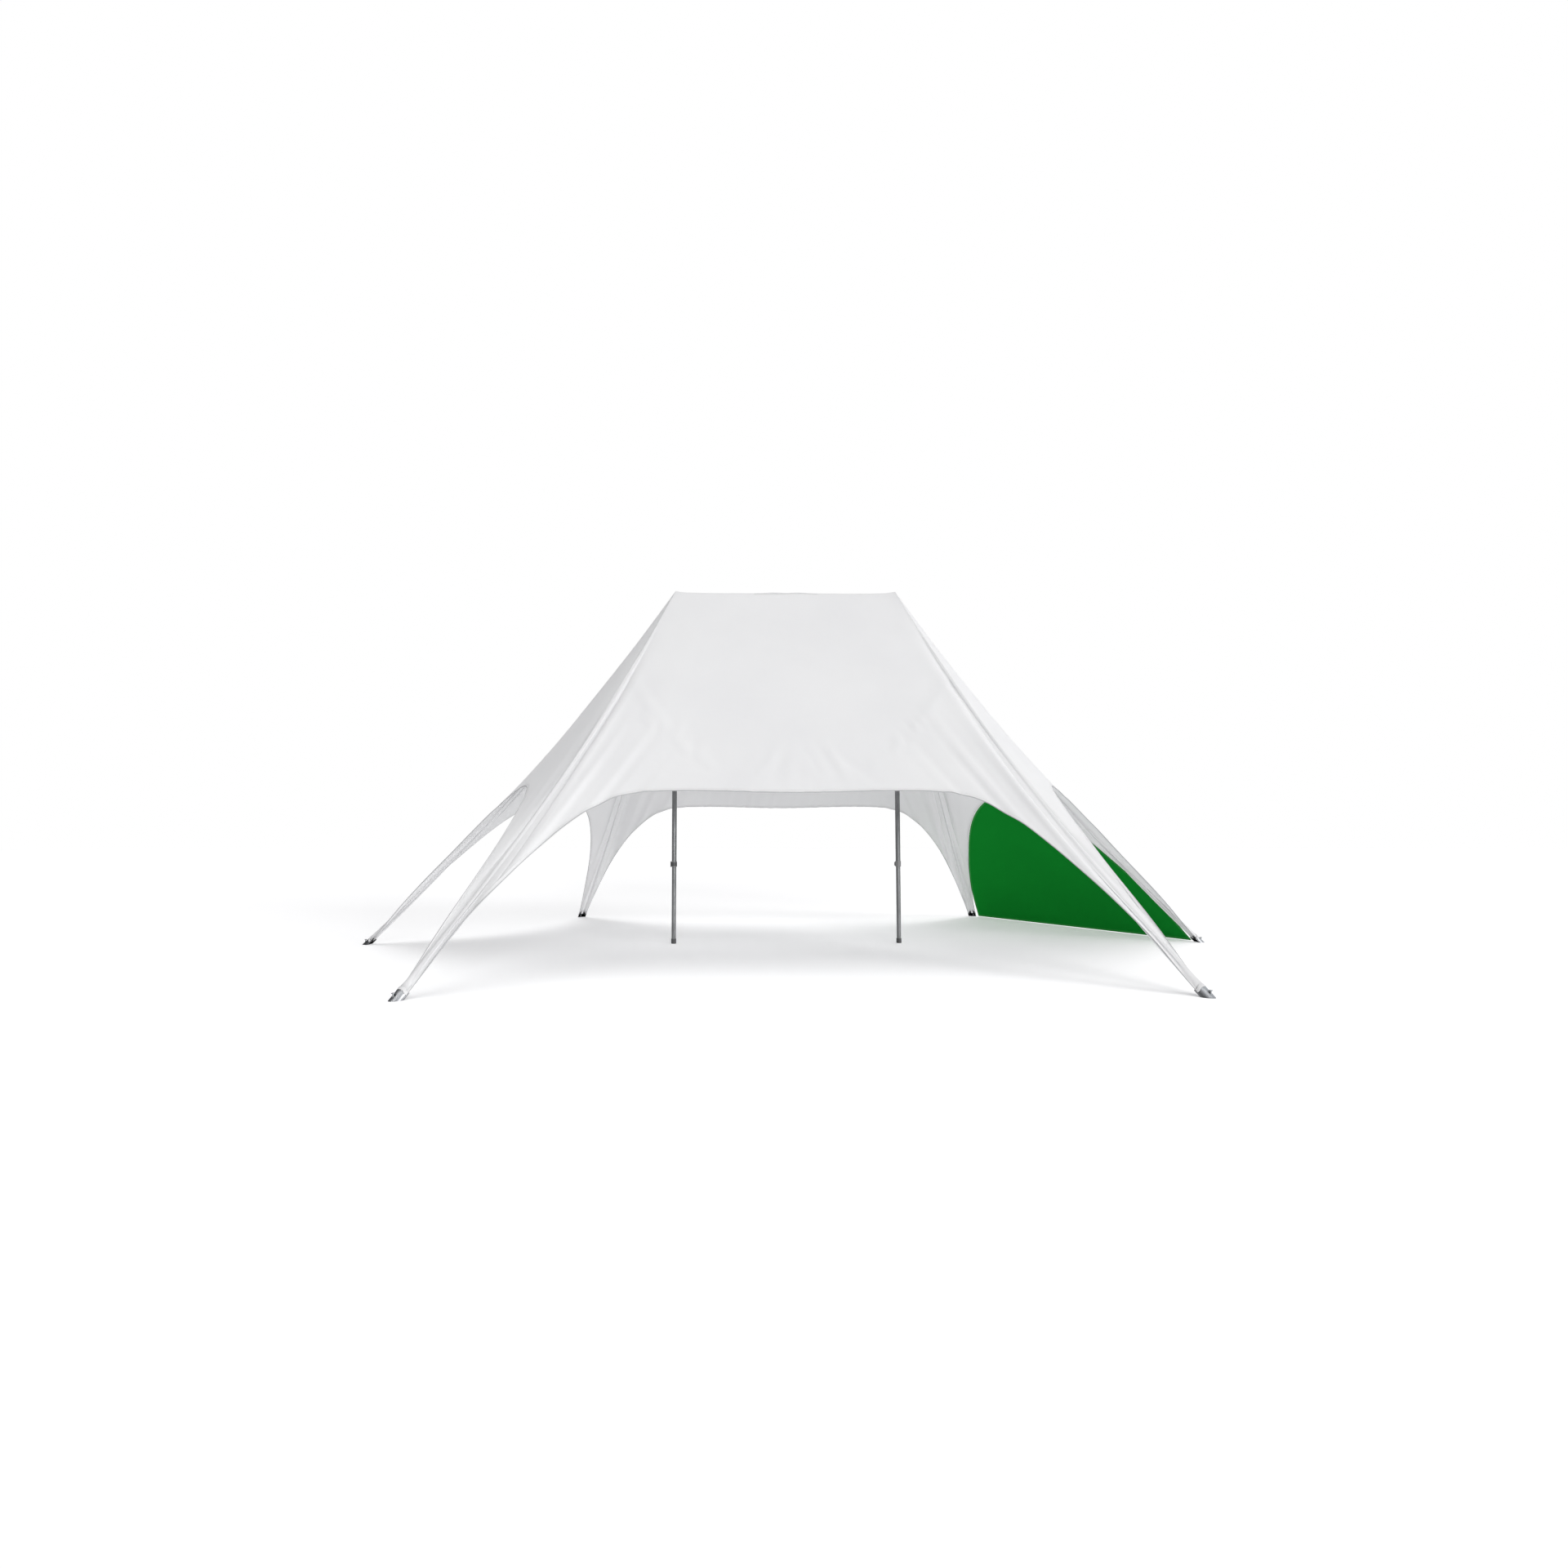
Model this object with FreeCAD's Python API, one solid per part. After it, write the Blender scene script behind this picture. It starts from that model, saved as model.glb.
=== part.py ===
import FreeCAD, Part
import math
import os

# Double star tent: two centre poles, a ridge between them and six legs, each ending in a pegged foot.
# Frame: origin on the ground midway between the poles, X along the ridge, -Y the front, +Z up.
# All lengths are in millimetres and all angles in degrees.

# ---------------------------------------------------------------- driving dimensions
PEAK_HEIGHT = 5400.0
POLE_X = 1700.0               # each pole's distance from the middle of the tent
LEG_REACH = 4655.0            # from a pole's axis to a foot's tip, along the ground
LEG_SPREAD = 60.0             # between neighbouring legs of one pole
FOOT_SLOPE = 43.5             # a leg's slope where it meets its foot; the slack of the leg follows from it
TOP_SLOPE = 54.5              # the slope of the cloth close to a peak

# Arches: half outlines as (sideways, height) in parts of the peak height, from the middle to the foot.
# Each arch lies in a plane: distance from the pole line = (plane height - height) / plane slope.
FRONT_ARCH = ((0.0, 0.396), (0.294, 0.400), (0.393, 0.388), (0.467, 0.349), (0.590, 0.222), (0.679, 0.087))
FRONT_PLANE_SLOPE = 1.15
FRONT_PLANE_HEIGHT = 0.868
SIDE_ARCH = ((0.0, 0.425), (0.139, 0.3765), (0.216, 0.309), (0.273, 0.239), (0.365, 0.092))
SIDE_PLANE_SLOPE = 1.303
SIDE_PLANE_HEIGHT = 0.965

CLOTH = 2.0                   # thickness of the canopy and wall cloth
SEAM_GAP = 2.4                # half the gap between two canopy panels, which the leg belt backs
PEAK_RING = 42.0              # radius at which the panels stop round a peak
RIDGE_DROP = 32.0             # the ridge lies this far below the peaks
RIDGE_CORNER = 8              # the higher, the closer to the peaks the ridge reaches its full drop
STRIP_STEP = 4.0              # sideways step of a leg strip's control columns at the peak ring
STRIP_DROP = 2.0              # and their downward step
HEM_ROPE_RADIUS = 4.0
HEM_ROPE_CLEARANCE = 3.0      # between the rope and the inside of the cloth
HEM_ROPE_END = 0.09           # the hem rope stops this part of the arch short of each foot
HEM_ROPE_POINTS = 24          # the rope follows the arch through this many steps

BELT_WIDTH = 36.0
BELT_DEPTH = 16.0             # from the outside of the cloth down to a belt
BELT_START = 62.0             # radius at which the leg belts start
BELT_OVERRUN = 12.0           # a leg belt ends this far before the middle of its foot bar
RIDGE_BELT_DEPTH = 40.0       # from the ridge down to its belt

SHELL_RADIUS = 75.0           # a foot's half-round shell, outside
SHELL_WALL = 3.0
SHELL_LENGTH = 168.0          # along the crown, from the tip to the mouth
CUFF_START = 150.0            # the cloth covers the shell from here on
CUFF_RADIUS = 78.5
CUFF_ANGLE = 75.0             # the cloth wraps the shell this far to each side
PLATE_THICKNESS = 5.0
FOOT_BAR_RADIUS = 5.0
FOOT_BAR_PLACE = 130.0        # along the crown, from the tip
FOOT_BAR_DEPTH = 24.0

PEG_RADIUS = 8.0
PEG_SETBACK = 50.0            # from a foot's tip to its peg
PEG_DEPTH = 420.0
PEG_POINT = 60.0
PEG_TIP_RADIUS = 1.5
PEG_HEAD_RADIUS = 17.0
PEG_HEAD_HEIGHT = 8.0
PEG_HEAD_SEAT = 68.0
PEG_HEAD_ROUND = 4.8
PEG_HOLE_CLEARANCE = 1.5

TUBE_RADIUS = 36.0            # middle and upper pole tubes, outside
TUBE_WALL = 3.0
SLIDING_CLEARANCE = 0.1
LOWER_TUBE_START = 8.0
MIDDLE_TUBE_START = 1165.0
LOWER_TUBE_END = 1665.0
UPPER_TUBE_START = 3250.0
UPPER_TUBE_END = 5296.0
SPIGOT_LENGTH = 400.0
GROOVE_HEIGHTS = (211.0, 410.0, 686.0)
GROOVE_DEPTH = 1.0
GROOVE_WIDTH = 8.0
PIN_HOLE_HEIGHT = 1604.0
PIN_HOLE_RADIUS = 7.0

COLLAR_RADIUS = 43.0
COLLAR_START = 1150.0
COLLAR_HEIGHT = 82.0
COLLAR_SLOT = 3.0
LUG_REACH = 54.0              # from the pole's axis to the lever's pin
LUG_THICKNESS = 12.0
LUG_RADIUS = 9.0
LEVER_SPAN = 112.0            # how far round the collar the closed lever reaches
LEVER_THICKNESS = 5.0
LEVER_CLEARANCE = 1.5
LEVER_END_GAP = 1.0           # between the lever and each lug
LEVER_PIN_RADIUS = 4.0
LEVER_PIN_CLEARANCE = 0.05
LEVER_PIN_HEAD_RADIUS = 6.4
LEVER_PIN_HEAD_HEIGHT = 2.5
LEFT_LEVER_ANGLE = 215.0
RIGHT_LEVER_ANGLE = 60.0

FERRULE_RADIUS = 38.5
FERRULE_HEIGHT = 72.0
FERRULE_ROUND = 4.0
HEAD_PLUG = 90.0              # length of the pole head inside the tube
HEAD_SEAT = 10.0              # collar of the pole head above the tube's end
HEAD_TOP = 5379.0
NOSE_RADIUS = 32.0            # the pole head's cone, at its foot
NOSE_TIP_RADIUS = 8.0
CAP_WALL = 3.0
CAP_CLEARANCE = 3.0           # between the peak cap and the panels round it

WALL_GAP = 19.0               # between the arch and the side wall's cloth
WALL_FOOT = 15.0              # height of the wall's straight bottom edge
WALL_CORNER = 2150.0          # half the length of that edge
WALL_ZIP_GAP = 14.5           # from the arch to the middle of the zip
WALL_ZIP_RADIUS = 3.0
WALL_ROPE_RADIUS = 5.0
WALL_ROPE_CLEARANCE = 1.0

# ---------------------------------------------------------------- small helpers
V = FreeCAD.Vector
SAME_POINT = 0.001
Z_AXIS = V(0, 0, 1)
ORIGIN = V(0, 0, 0)
FOOT_RADIANS = math.radians(FOOT_SLOPE)
HALF_SPREAD = LEG_SPREAD / 2

LEGS = {
    "front_left": (-POLE_X, -180.0 + LEG_SPREAD),
    "mid_left": (-POLE_X, 180.0),
    "back_left": (-POLE_X, 180.0 - LEG_SPREAD),
    "front_right": (POLE_X, -LEG_SPREAD),
    "mid_right": (POLE_X, 0.0),
    "back_right": (POLE_X, LEG_SPREAD),
}
SIDES = {
    "left_front": (-POLE_X, -180.0 + HALF_SPREAD),
    "left_back": (-POLE_X, 180.0 - HALF_SPREAD),
    "right_front": (POLE_X, -HALF_SPREAD),
    "right_back": (POLE_X, HALF_SPREAD),
}
POLES = {"left": (-POLE_X, LEFT_LEVER_ANGLE), "right": (POLE_X, RIGHT_LEVER_ANGLE)}


def write(name, shape):
    """Save one sub-part as its own STEP file."""
    shape.exportStep(os.path.join("parts", name + ".step"))


def placed(shape, pole_x, angle):
    """A copy of a shape built on a pole at the origin, turned and moved to its own pole."""
    moved = shape.copy()
    moved.rotate(ORIGIN, Z_AXIS, angle)
    moved.translate(V(pole_x, 0, 0))
    return moved


def turned(point, pole_x, angle):
    """The same move for a single point."""
    return FreeCAD.Rotation(Z_AXIS, angle).multVec(point) + V(pole_x, 0, 0)


def tube(radius, wall, start, end):
    outside = Part.makeCylinder(radius, end - start, V(0, 0, start))
    return outside.cut(Part.makeCylinder(radius - wall, end - start, V(0, 0, start)))


def side_prism(corners, half_width):
    """A prism across the leg from corners given as (outwards, up)."""
    points = [V(x, -half_width, z) for x, z in corners]
    face = Part.Face(Part.makePolygon(points + points[:1]))
    return face.extrude(V(0, 2 * half_width, 0))


# ---------------------------------------------------------------- the run of a leg
def crown(along, depth=0.0):
    """A point under the outer line of the leg at its foot: along it from the tip, and inwards from it."""
    x = LEG_REACH - along * math.cos(FOOT_RADIANS) - depth * math.sin(FOOT_RADIANS)
    z = along * math.sin(FOOT_RADIANS) - depth * math.cos(FOOT_RADIANS)
    return V(x, 0, z)


FOOT_AXIS = V(-math.cos(FOOT_RADIANS), 0, math.sin(FOOT_RADIANS))
FOOT_OUTWARD = V(math.sin(FOOT_RADIANS), 0, math.cos(FOOT_RADIANS))


def peak_point(radius):
    """A point of the leg's outer line close to the peak."""
    return V(radius, 0, PEAK_HEIGHT - radius * math.tan(math.radians(TOP_SLOPE)))


def leg_sag():
    """How far a leg's middle hangs inside the straight line, so that it meets its foot in line."""
    top, bottom = peak_point(PEAK_RING), crown(CUFF_START)
    half = (bottom - top) * 0.5
    inward = V(half.z, 0, -half.x).normalize()
    across = half.z * FOOT_AXIS.x - half.x * FOOT_AXIS.z
    return inward * (across / (2 * (inward.z * FOOT_AXIS.x - inward.x * FOOT_AXIS.z)))


LEG_SAG = leg_sag()
WALL_OUTWARD = V(SIDE_PLANE_SLOPE, 0, 1).normalize()


def sagging(top, bottom, sag):
    """Control points of one sagging line of cloth from the top to the bottom."""
    return [top, (top + bottom) * 0.5 + sag * 2, bottom]


# ---------------------------------------------------------------- canopy panels
def sheet(columns, degree, knots, mults):
    """A surface whose control columns each hold one sagging line."""
    surface = Part.BSplineSurface()
    surface.buildFromPolesMultsKnots(columns, mults, [3, 3], knots, [0, 1], False, False, degree, 2)
    return surface.toShape()


def cuff_columns(pole_x, angle, side):
    """Control columns of the strip that runs down one side of a leg and wraps its foot."""
    start, end = SEAM_GAP / CUFF_RADIUS, math.radians(CUFF_ANGLE)
    handle = 4 / 3 * math.tan((end - start) / 4) * CUFF_RADIUS
    centre = crown(CUFF_START, CUFF_RADIUS)

    def on_cuff(turn, shift):
        outward = CUFF_RADIUS * math.cos(turn) - shift * math.sin(turn)
        sideways = CUFF_RADIUS * math.sin(turn) + shift * math.cos(turn)
        return centre + FOOT_OUTWARD * outward + V(0, side * sideways, 0)

    bottoms = [on_cuff(start, 0), on_cuff(start, handle), on_cuff(end, -handle), on_cuff(end, 0)]
    columns = []
    for step, bottom in enumerate(bottoms):
        top = peak_point(PEAK_RING) + V(0, side * (SEAM_GAP + STRIP_STEP * step), -STRIP_DROP * step)
        line = sagging(top, bottom, LEG_SAG)
        columns.append([turned(point, pole_x, angle) for point in line])
    return columns


def arch_curve(outline, slope, height, start, end, direction):
    """The arch through its outline points, from cuff to cuff; direction is the leg's at each end."""
    points = []
    for sideways, up in outline:
        points.append(V((height - up) / slope, sideways, up) * PEAK_HEIGHT)
    half = [V(p.x, p.y, p.z) for p in points[1:]]
    mirrored = [V(p.x, -p.y, p.z) for p in reversed(half)]
    curve = Part.BSplineCurve()
    through = [start] + mirrored + points[:1] + half + [end]
    curve.interpolate(Points=through, InitialTangent=direction[0], FinalTangent=direction[1])
    return curve


def panel(cuff_a, cuff_b, curve, top_of, middle_inward):
    """A canopy panel, made of a strip of each leg and the field between them, and its field alone."""
    poles = curve.getPoles()
    sag_a = cuff_a[3][1] - (cuff_a[3][0] + cuff_a[3][2]) * 0.5
    sag_b = cuff_b[3][1] - (cuff_b[3][0] + cuff_b[3][2]) * 0.5
    slack = sag_a.Length
    low = poles[0].z
    columns = []
    for step, bottom in enumerate(poles):
        share = step / (len(poles) - 1)
        near_leg = abs(2 * share - 1) ** 2
        toward_leg = (sag_a if share < 0.5 else sag_b).normalize()
        inward = (toward_leg * near_leg + middle_inward * (1 - near_leg)).normalize()
        reach = (PEAK_HEIGHT - bottom.z) / (PEAK_HEIGHT - low)
        top = top_of(share)
        columns.append([top, (top + bottom) * 0.5 + inward * (slack * reach ** 2), bottom])
    columns[0] = cuff_a[3]
    columns[-1] = cuff_b[3]
    field = sheet(columns, curve.Degree, curve.getKnots(), curve.getMultiplicities())
    strips = [sheet(cuff, 3, [0, 1], [4, 4]) for cuff in (cuff_a, cuff_b)]
    return closed_sheet([strips[0], field, strips[1]], middle_inward * CLOTH), field


def closed_sheet(faces, offset):
    """A closed solid from a run of faces, thickened by moving a copy of them inwards."""
    edges = [edge for face in faces for edge in face.Edges]
    middles = [edge.valueAt((edge.FirstParameter + edge.LastParameter) / 2) for edge in edges]
    rims = []
    for edge, middle in zip(edges, middles):
        uses = sum(1 for other in middles if (other - middle).Length < SAME_POINT)
        if uses == 1:
            rims.append(edge.extrude(offset))
    insides = [face.translated(offset) for face in faces]
    shell = Part.makeShell(faces + insides + rims)
    shell.sewShape(SAME_POINT)
    solid = Part.makeSolid(shell)
    if solid.Volume < 0:
        solid.reverse()
    return solid


def side_panel_and_rope():
    """The panel between two legs of one pole and its hem rope, with the middle of the arch on +X."""
    cuff_a = cuff_columns(0, -HALF_SPREAD, 1)
    cuff_b = cuff_columns(0, HALF_SPREAD, -1)
    ends = (cuff_a[3][2], cuff_b[3][2])
    pulls = (turned(FOOT_AXIS, 0, -HALF_SPREAD), turned(FOOT_AXIS, 0, HALF_SPREAD) * -1)
    curve = arch_curve(SIDE_ARCH, SIDE_PLANE_SLOPE, SIDE_PLANE_HEIGHT, ends[0], ends[1], pulls)
    lower, upper = cuff_a[3][0], cuff_b[3][0]
    inward = V(-SIDE_PLANE_SLOPE, 0, -1).normalize()

    def top_of(share):
        bulge = 4 * share * (1 - share) * PEAK_RING * (1 - math.cos(math.radians(HALF_SPREAD)))
        return lower + (upper - lower) * share + V(bulge, 0, 0)

    solid, field = panel(cuff_a, cuff_b, curve, top_of, inward)
    return solid, hem_rope(curve, field, inward)


def swung(columns):
    """Columns of control points turned a quarter about the vertical, from the front to +X."""
    return [[V(-p.y, p.x, p.z) for p in column] for column in columns]


def front_panel_and_rope():
    """The panel below the ridge and its hem rope, facing +X with the ridge along Y."""
    corner_turn = 90.0 - LEG_SPREAD
    cuff_a = swung(cuff_columns(-POLE_X, LEG_SPREAD - 180.0, 1))
    cuff_b = swung(cuff_columns(POLE_X, -LEG_SPREAD, -1))
    ends = (cuff_a[3][2], cuff_b[3][2])
    pulls = (turned(FOOT_AXIS, 0, -corner_turn), turned(FOOT_AXIS, 0, corner_turn) * -1)
    curve = arch_curve(FRONT_ARCH, FRONT_PLANE_SLOPE, FRONT_PLANE_HEIGHT, ends[0], ends[1], pulls)
    inward = V(-FRONT_PLANE_SLOPE, 0, -1).normalize()
    ridge_half = POLE_X - PEAK_RING
    ring = cuff_b[3][0]

    def top_of(share):
        place = math.sin(math.pi * (share - 0.5))
        near_pole = abs(place) ** RIDGE_CORNER
        across = SEAM_GAP + (ring.x - SEAM_GAP) * near_pole
        up = PEAK_HEIGHT - RIDGE_DROP + (ring.z - PEAK_HEIGHT + RIDGE_DROP) * near_pole
        along = ridge_half * place + (ring.y - ridge_half) * near_pole * math.copysign(1, place)
        return V(across, along, up)

    solid, field = panel(cuff_a, cuff_b, curve, top_of, inward)
    return solid, hem_rope(curve, field, inward)


def rope(edge, radius):
    """A round rope along an edge."""
    start = edge.valueAt(edge.FirstParameter)
    profile = Part.Wire(Part.makeCircle(radius, start, edge.tangentAt(edge.FirstParameter)))
    return Part.Wire(edge).makePipeShell([profile], True, False)


def hem_rope(curve, field, inward):
    """The rope of an arch's hem, behind the cloth's edge and ending short of the feet."""
    length = curve.LastParameter - curve.FirstParameter
    offset = CLOTH + HEM_ROPE_CLEARANCE + HEM_ROPE_RADIUS
    points = []
    for step in range(HEM_ROPE_POINTS + 1):
        share = HEM_ROPE_END + (1 - 2 * HEM_ROPE_END) * step / HEM_ROPE_POINTS
        place = curve.FirstParameter + share * length
        facing = abs(field.normalAt(place, 1.0).dot(inward))
        points.append(curve.value(place) + inward * (offset / facing))
    path = Part.BSplineCurve()
    path.interpolate(points)
    return rope(path.toShape(), HEM_ROPE_RADIUS)


# ---------------------------------------------------------------- belts, feet and pegs
def leg_belt():
    """The belt under a leg's fold, from the pole head into the foot."""
    down = FOOT_OUTWARD * -BELT_DEPTH
    end = crown(FOOT_BAR_PLACE + BELT_OVERRUN)
    columns = []
    for side in (-1, 1):
        shift = V(0, side * BELT_WIDTH / 2, 0)
        columns.append(sagging(peak_point(BELT_START) + down + shift, end + down + shift, LEG_SAG))
    face = sheet(columns, 1, [0, 1], [2, 2])
    return face.extrude(FOOT_OUTWARD * -CLOTH)


def ridge_belt():
    """The belt under the ridge, between the two pole heads."""
    half = POLE_X - BELT_START
    top = PEAK_HEIGHT - RIDGE_DROP - RIDGE_BELT_DEPTH
    return Part.makeBox(2 * half, BELT_WIDTH, CLOTH, V(-half, -BELT_WIDTH / 2, top))


def foot_outline(top_of_cut):
    """Side view of a foot: above the ground, outside its axis plane, up to a height or to its mouth."""
    axis_depth = CUFF_RADIUS
    ground = LEG_REACH - axis_depth / math.sin(FOOT_RADIANS)
    if top_of_cut:
        return [(ground, 0), (LEG_REACH, 0), (LEG_REACH, top_of_cut), (ground, top_of_cut)]
    inner = crown(SHELL_LENGTH, axis_depth)
    outer = crown(SHELL_LENGTH, -axis_depth)
    beyond = outer - FOOT_AXIS * (2 * SHELL_LENGTH)
    return [(ground, 0), (beyond.x, 0), (beyond.x, beyond.z), (outer.x, outer.z), (inner.x, inner.z)]


def foot_rod(radius):
    """A long cylinder on the foot's axis."""
    start = crown(-2 * SHELL_LENGTH, CUFF_RADIUS)
    return Part.makeCylinder(radius, 4 * SHELL_LENGTH, start, FOOT_AXIS)


def peg_hole():
    start = V(LEG_REACH - PEG_SETBACK, 0, -PEG_HEAD_SEAT)
    return Part.makeCylinder(PEG_RADIUS + PEG_HOLE_CLEARANCE, 3 * PEG_HEAD_SEAT, start)


def foot_shell():
    half_tube = foot_rod(SHELL_RADIUS).cut(foot_rod(SHELL_RADIUS - SHELL_WALL))
    shell = half_tube.common(side_prism(foot_outline(0), 2 * SHELL_RADIUS))
    return shell.cut(peg_hole())


def foot_plate():
    inside = foot_rod(SHELL_RADIUS - SHELL_WALL - SLIDING_CLEARANCE)
    plate = inside.common(side_prism(foot_outline(PLATE_THICKNESS), 2 * SHELL_RADIUS))
    return plate.cut(peg_hole())


def foot_bar():
    """The cross bar inside a foot that holds the end of its belt."""
    inner = SHELL_RADIUS - SHELL_WALL
    below_axis = CUFF_RADIUS - FOOT_BAR_DEPTH + FOOT_BAR_RADIUS
    half = math.sqrt(inner ** 2 - below_axis ** 2) - SLIDING_CLEARANCE
    centre = crown(FOOT_BAR_PLACE, FOOT_BAR_DEPTH)
    return Part.makeCylinder(FOOT_BAR_RADIUS, 2 * half, centre - V(0, half, 0), V(0, 1, 0))


def peg():
    """A round ground peg with a domed head, driven straight down through the foot."""
    x = LEG_REACH - PEG_SETBACK
    shank = Part.makeCylinder(PEG_RADIUS, PEG_DEPTH + PEG_HEAD_SEAT, V(x, 0, -PEG_DEPTH))
    point = Part.makeCone(PEG_TIP_RADIUS, PEG_RADIUS, PEG_POINT, V(x, 0, -PEG_DEPTH - PEG_POINT))
    head = Part.makeCylinder(PEG_HEAD_RADIUS, PEG_HEAD_HEIGHT, V(x, 0, PEG_HEAD_SEAT))
    rim = [edge for edge in head.Edges if edge.BoundBox.ZMin > PEG_HEAD_SEAT + PEG_HEAD_HEIGHT / 2]
    head = head.makeFillet(PEG_HEAD_ROUND, rim)
    return shank.fuse([point, head]).removeSplitter()


# ---------------------------------------------------------------- poles
def lower_tube():
    radius = TUBE_RADIUS - TUBE_WALL - SLIDING_CLEARANCE
    body = tube(radius, TUBE_WALL, LOWER_TUBE_START, LOWER_TUBE_END)
    grooves = []
    half = GROOVE_WIDTH / 2
    for height in GROOVE_HEIGHTS:
        bottom = V(radius - GROOVE_DEPTH, 0, height)
        ring = [bottom, V(radius, 0, height - half), V(radius, 0, height + half)]
        face = Part.Face(Part.makePolygon(ring + ring[:1]))
        grooves.append(face.revolve(ORIGIN, Z_AXIS, 360))
    return body.cut(grooves + [pin_hole()])


def pin_hole():
    """The cross hole for a locking pin, through both telescoping tubes."""
    start = V(0, -2 * TUBE_RADIUS, PIN_HOLE_HEIGHT)
    return Part.makeCylinder(PIN_HOLE_RADIUS, 4 * TUBE_RADIUS, start, V(0, 1, 0))


def middle_tube():
    return tube(TUBE_RADIUS, TUBE_WALL, MIDDLE_TUBE_START, UPPER_TUBE_START).cut(pin_hole())


def upper_tube():
    return tube(TUBE_RADIUS, TUBE_WALL, UPPER_TUBE_START, UPPER_TUBE_END)


def spigot():
    """The sleeve inside the joint of the middle and upper tubes."""
    radius = TUBE_RADIUS - TUBE_WALL - SLIDING_CLEARANCE
    half = SPIGOT_LENGTH / 2
    return tube(radius, TUBE_WALL, UPPER_TUBE_START - half, UPPER_TUBE_START + half)


def collar():
    """The split clamp on the lower end of the middle tube, with two lugs for the lever's pin."""
    body = Part.makeCylinder(COLLAR_RADIUS, COLLAR_HEIGHT, V(0, 0, COLLAR_START))
    lugs = []
    for start in (lug_start(0), lug_start(1)):
        root = Part.makeBox(LUG_REACH, 2 * LUG_RADIUS, LUG_THICKNESS, V(0, -LUG_RADIUS, start))
        lugs.append(root.fuse(Part.makeCylinder(LUG_RADIUS, LUG_THICKNESS, V(LUG_REACH, 0, start))))
    body = body.fuse(lugs).removeSplitter()
    lower_bore = Part.makeCylinder(TUBE_RADIUS - TUBE_WALL, COLLAR_HEIGHT, V(0, 0, COLLAR_START))
    seat = Part.makeCylinder(TUBE_RADIUS, COLLAR_HEIGHT, V(0, 0, MIDDLE_TUBE_START))
    slot_corner = V(-2 * COLLAR_RADIUS, -COLLAR_SLOT / 2, COLLAR_START)
    slot = Part.makeBox(2 * COLLAR_RADIUS, COLLAR_SLOT, COLLAR_HEIGHT, slot_corner)
    return body.cut([lower_bore, seat, slot, lever_pin_hole()])


def lever_pin_hole():
    radius = LEVER_PIN_RADIUS + LEVER_PIN_CLEARANCE
    return Part.makeCylinder(radius, COLLAR_HEIGHT, V(LUG_REACH, 0, COLLAR_START))


def lug_start(which):
    """Height of the lower (0) or upper (1) lug."""
    return COLLAR_START + which * (COLLAR_HEIGHT - LUG_THICKNESS)


def lever():
    """The cam lever that closes the collar: a boss on the pin and an arm hugging the collar."""
    start = lug_start(0) + LUG_THICKNESS + LEVER_END_GAP
    height = lug_start(1) - LEVER_END_GAP - start
    inner = COLLAR_RADIUS + LEVER_CLEARANCE
    outer = inner + LEVER_THICKNESS
    arm = Part.makeCylinder(outer, height, V(0, 0, start), Z_AXIS, LEVER_SPAN)
    arm = arm.cut(Part.makeCylinder(inner, height, V(0, 0, start)))
    boss = Part.makeCylinder(LUG_RADIUS - LEVER_END_GAP, height, V(LUG_REACH, 0, start))
    thumb_corner = V(inner + LEVER_END_GAP, -LEVER_THICKNESS, start)
    thumb = Part.makeBox(2 * LEVER_THICKNESS, LEVER_THICKNESS, height, thumb_corner)
    thumb.rotate(ORIGIN, Z_AXIS, LEVER_SPAN)
    return arm.fuse([boss, thumb]).removeSplitter().cut(lever_pin_hole())


def lever_pin():
    shank = Part.makeCylinder(LEVER_PIN_RADIUS, COLLAR_HEIGHT, V(LUG_REACH, 0, COLLAR_START))
    heads = []
    for start in (COLLAR_START - LEVER_PIN_HEAD_HEIGHT, COLLAR_START + COLLAR_HEIGHT):
        heads.append(Part.makeCylinder(LEVER_PIN_HEAD_RADIUS, LEVER_PIN_HEAD_HEIGHT, V(LUG_REACH, 0, start)))
    return shank.fuse(heads).removeSplitter()


def ferrule():
    """The rubber cup on a pole's foot, with rounded edges and a flat sole."""
    cup = Part.makeCylinder(FERRULE_RADIUS, FERRULE_HEIGHT)
    rims = [edge for edge in cup.Edges if isinstance(edge.Curve, Part.Circle)]
    cup = cup.makeFillet(FERRULE_ROUND, rims)
    inner = TUBE_RADIUS - TUBE_WALL
    return cup.cut(Part.makeCylinder(inner, FERRULE_HEIGHT, V(0, 0, LOWER_TUBE_START)))


def pole_head():
    """The pointed head in the top of a pole, which carries the peak of the canopy."""
    plug_radius = TUBE_RADIUS - TUBE_WALL - SLIDING_CLEARANCE
    plug = Part.makeCylinder(plug_radius, HEAD_PLUG, V(0, 0, UPPER_TUBE_END - HEAD_PLUG))
    seat = Part.makeCylinder(TUBE_RADIUS, HEAD_SEAT, V(0, 0, UPPER_TUBE_END))
    nose_start = UPPER_TUBE_END + HEAD_SEAT
    nose = Part.makeCone(NOSE_RADIUS, NOSE_TIP_RADIUS, HEAD_TOP - nose_start, V(0, 0, nose_start))
    return plug.fuse([seat, nose]).removeSplitter()


def peak_cap():
    """The stiff conical patch that closes the canopy over a pole head."""
    radius = PEAK_RING - CAP_CLEARANCE
    slope = math.tan(math.radians(TOP_SLOPE))
    drop = radius * slope
    outside = Part.makeCone(radius, 0, drop, V(0, 0, PEAK_HEIGHT - drop))
    lift = CAP_WALL / math.cos(math.radians(TOP_SLOPE))
    inside = Part.makeCone(radius, 0, drop, V(0, 0, PEAK_HEIGHT - drop - lift))
    return outside.cut(inside)


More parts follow.
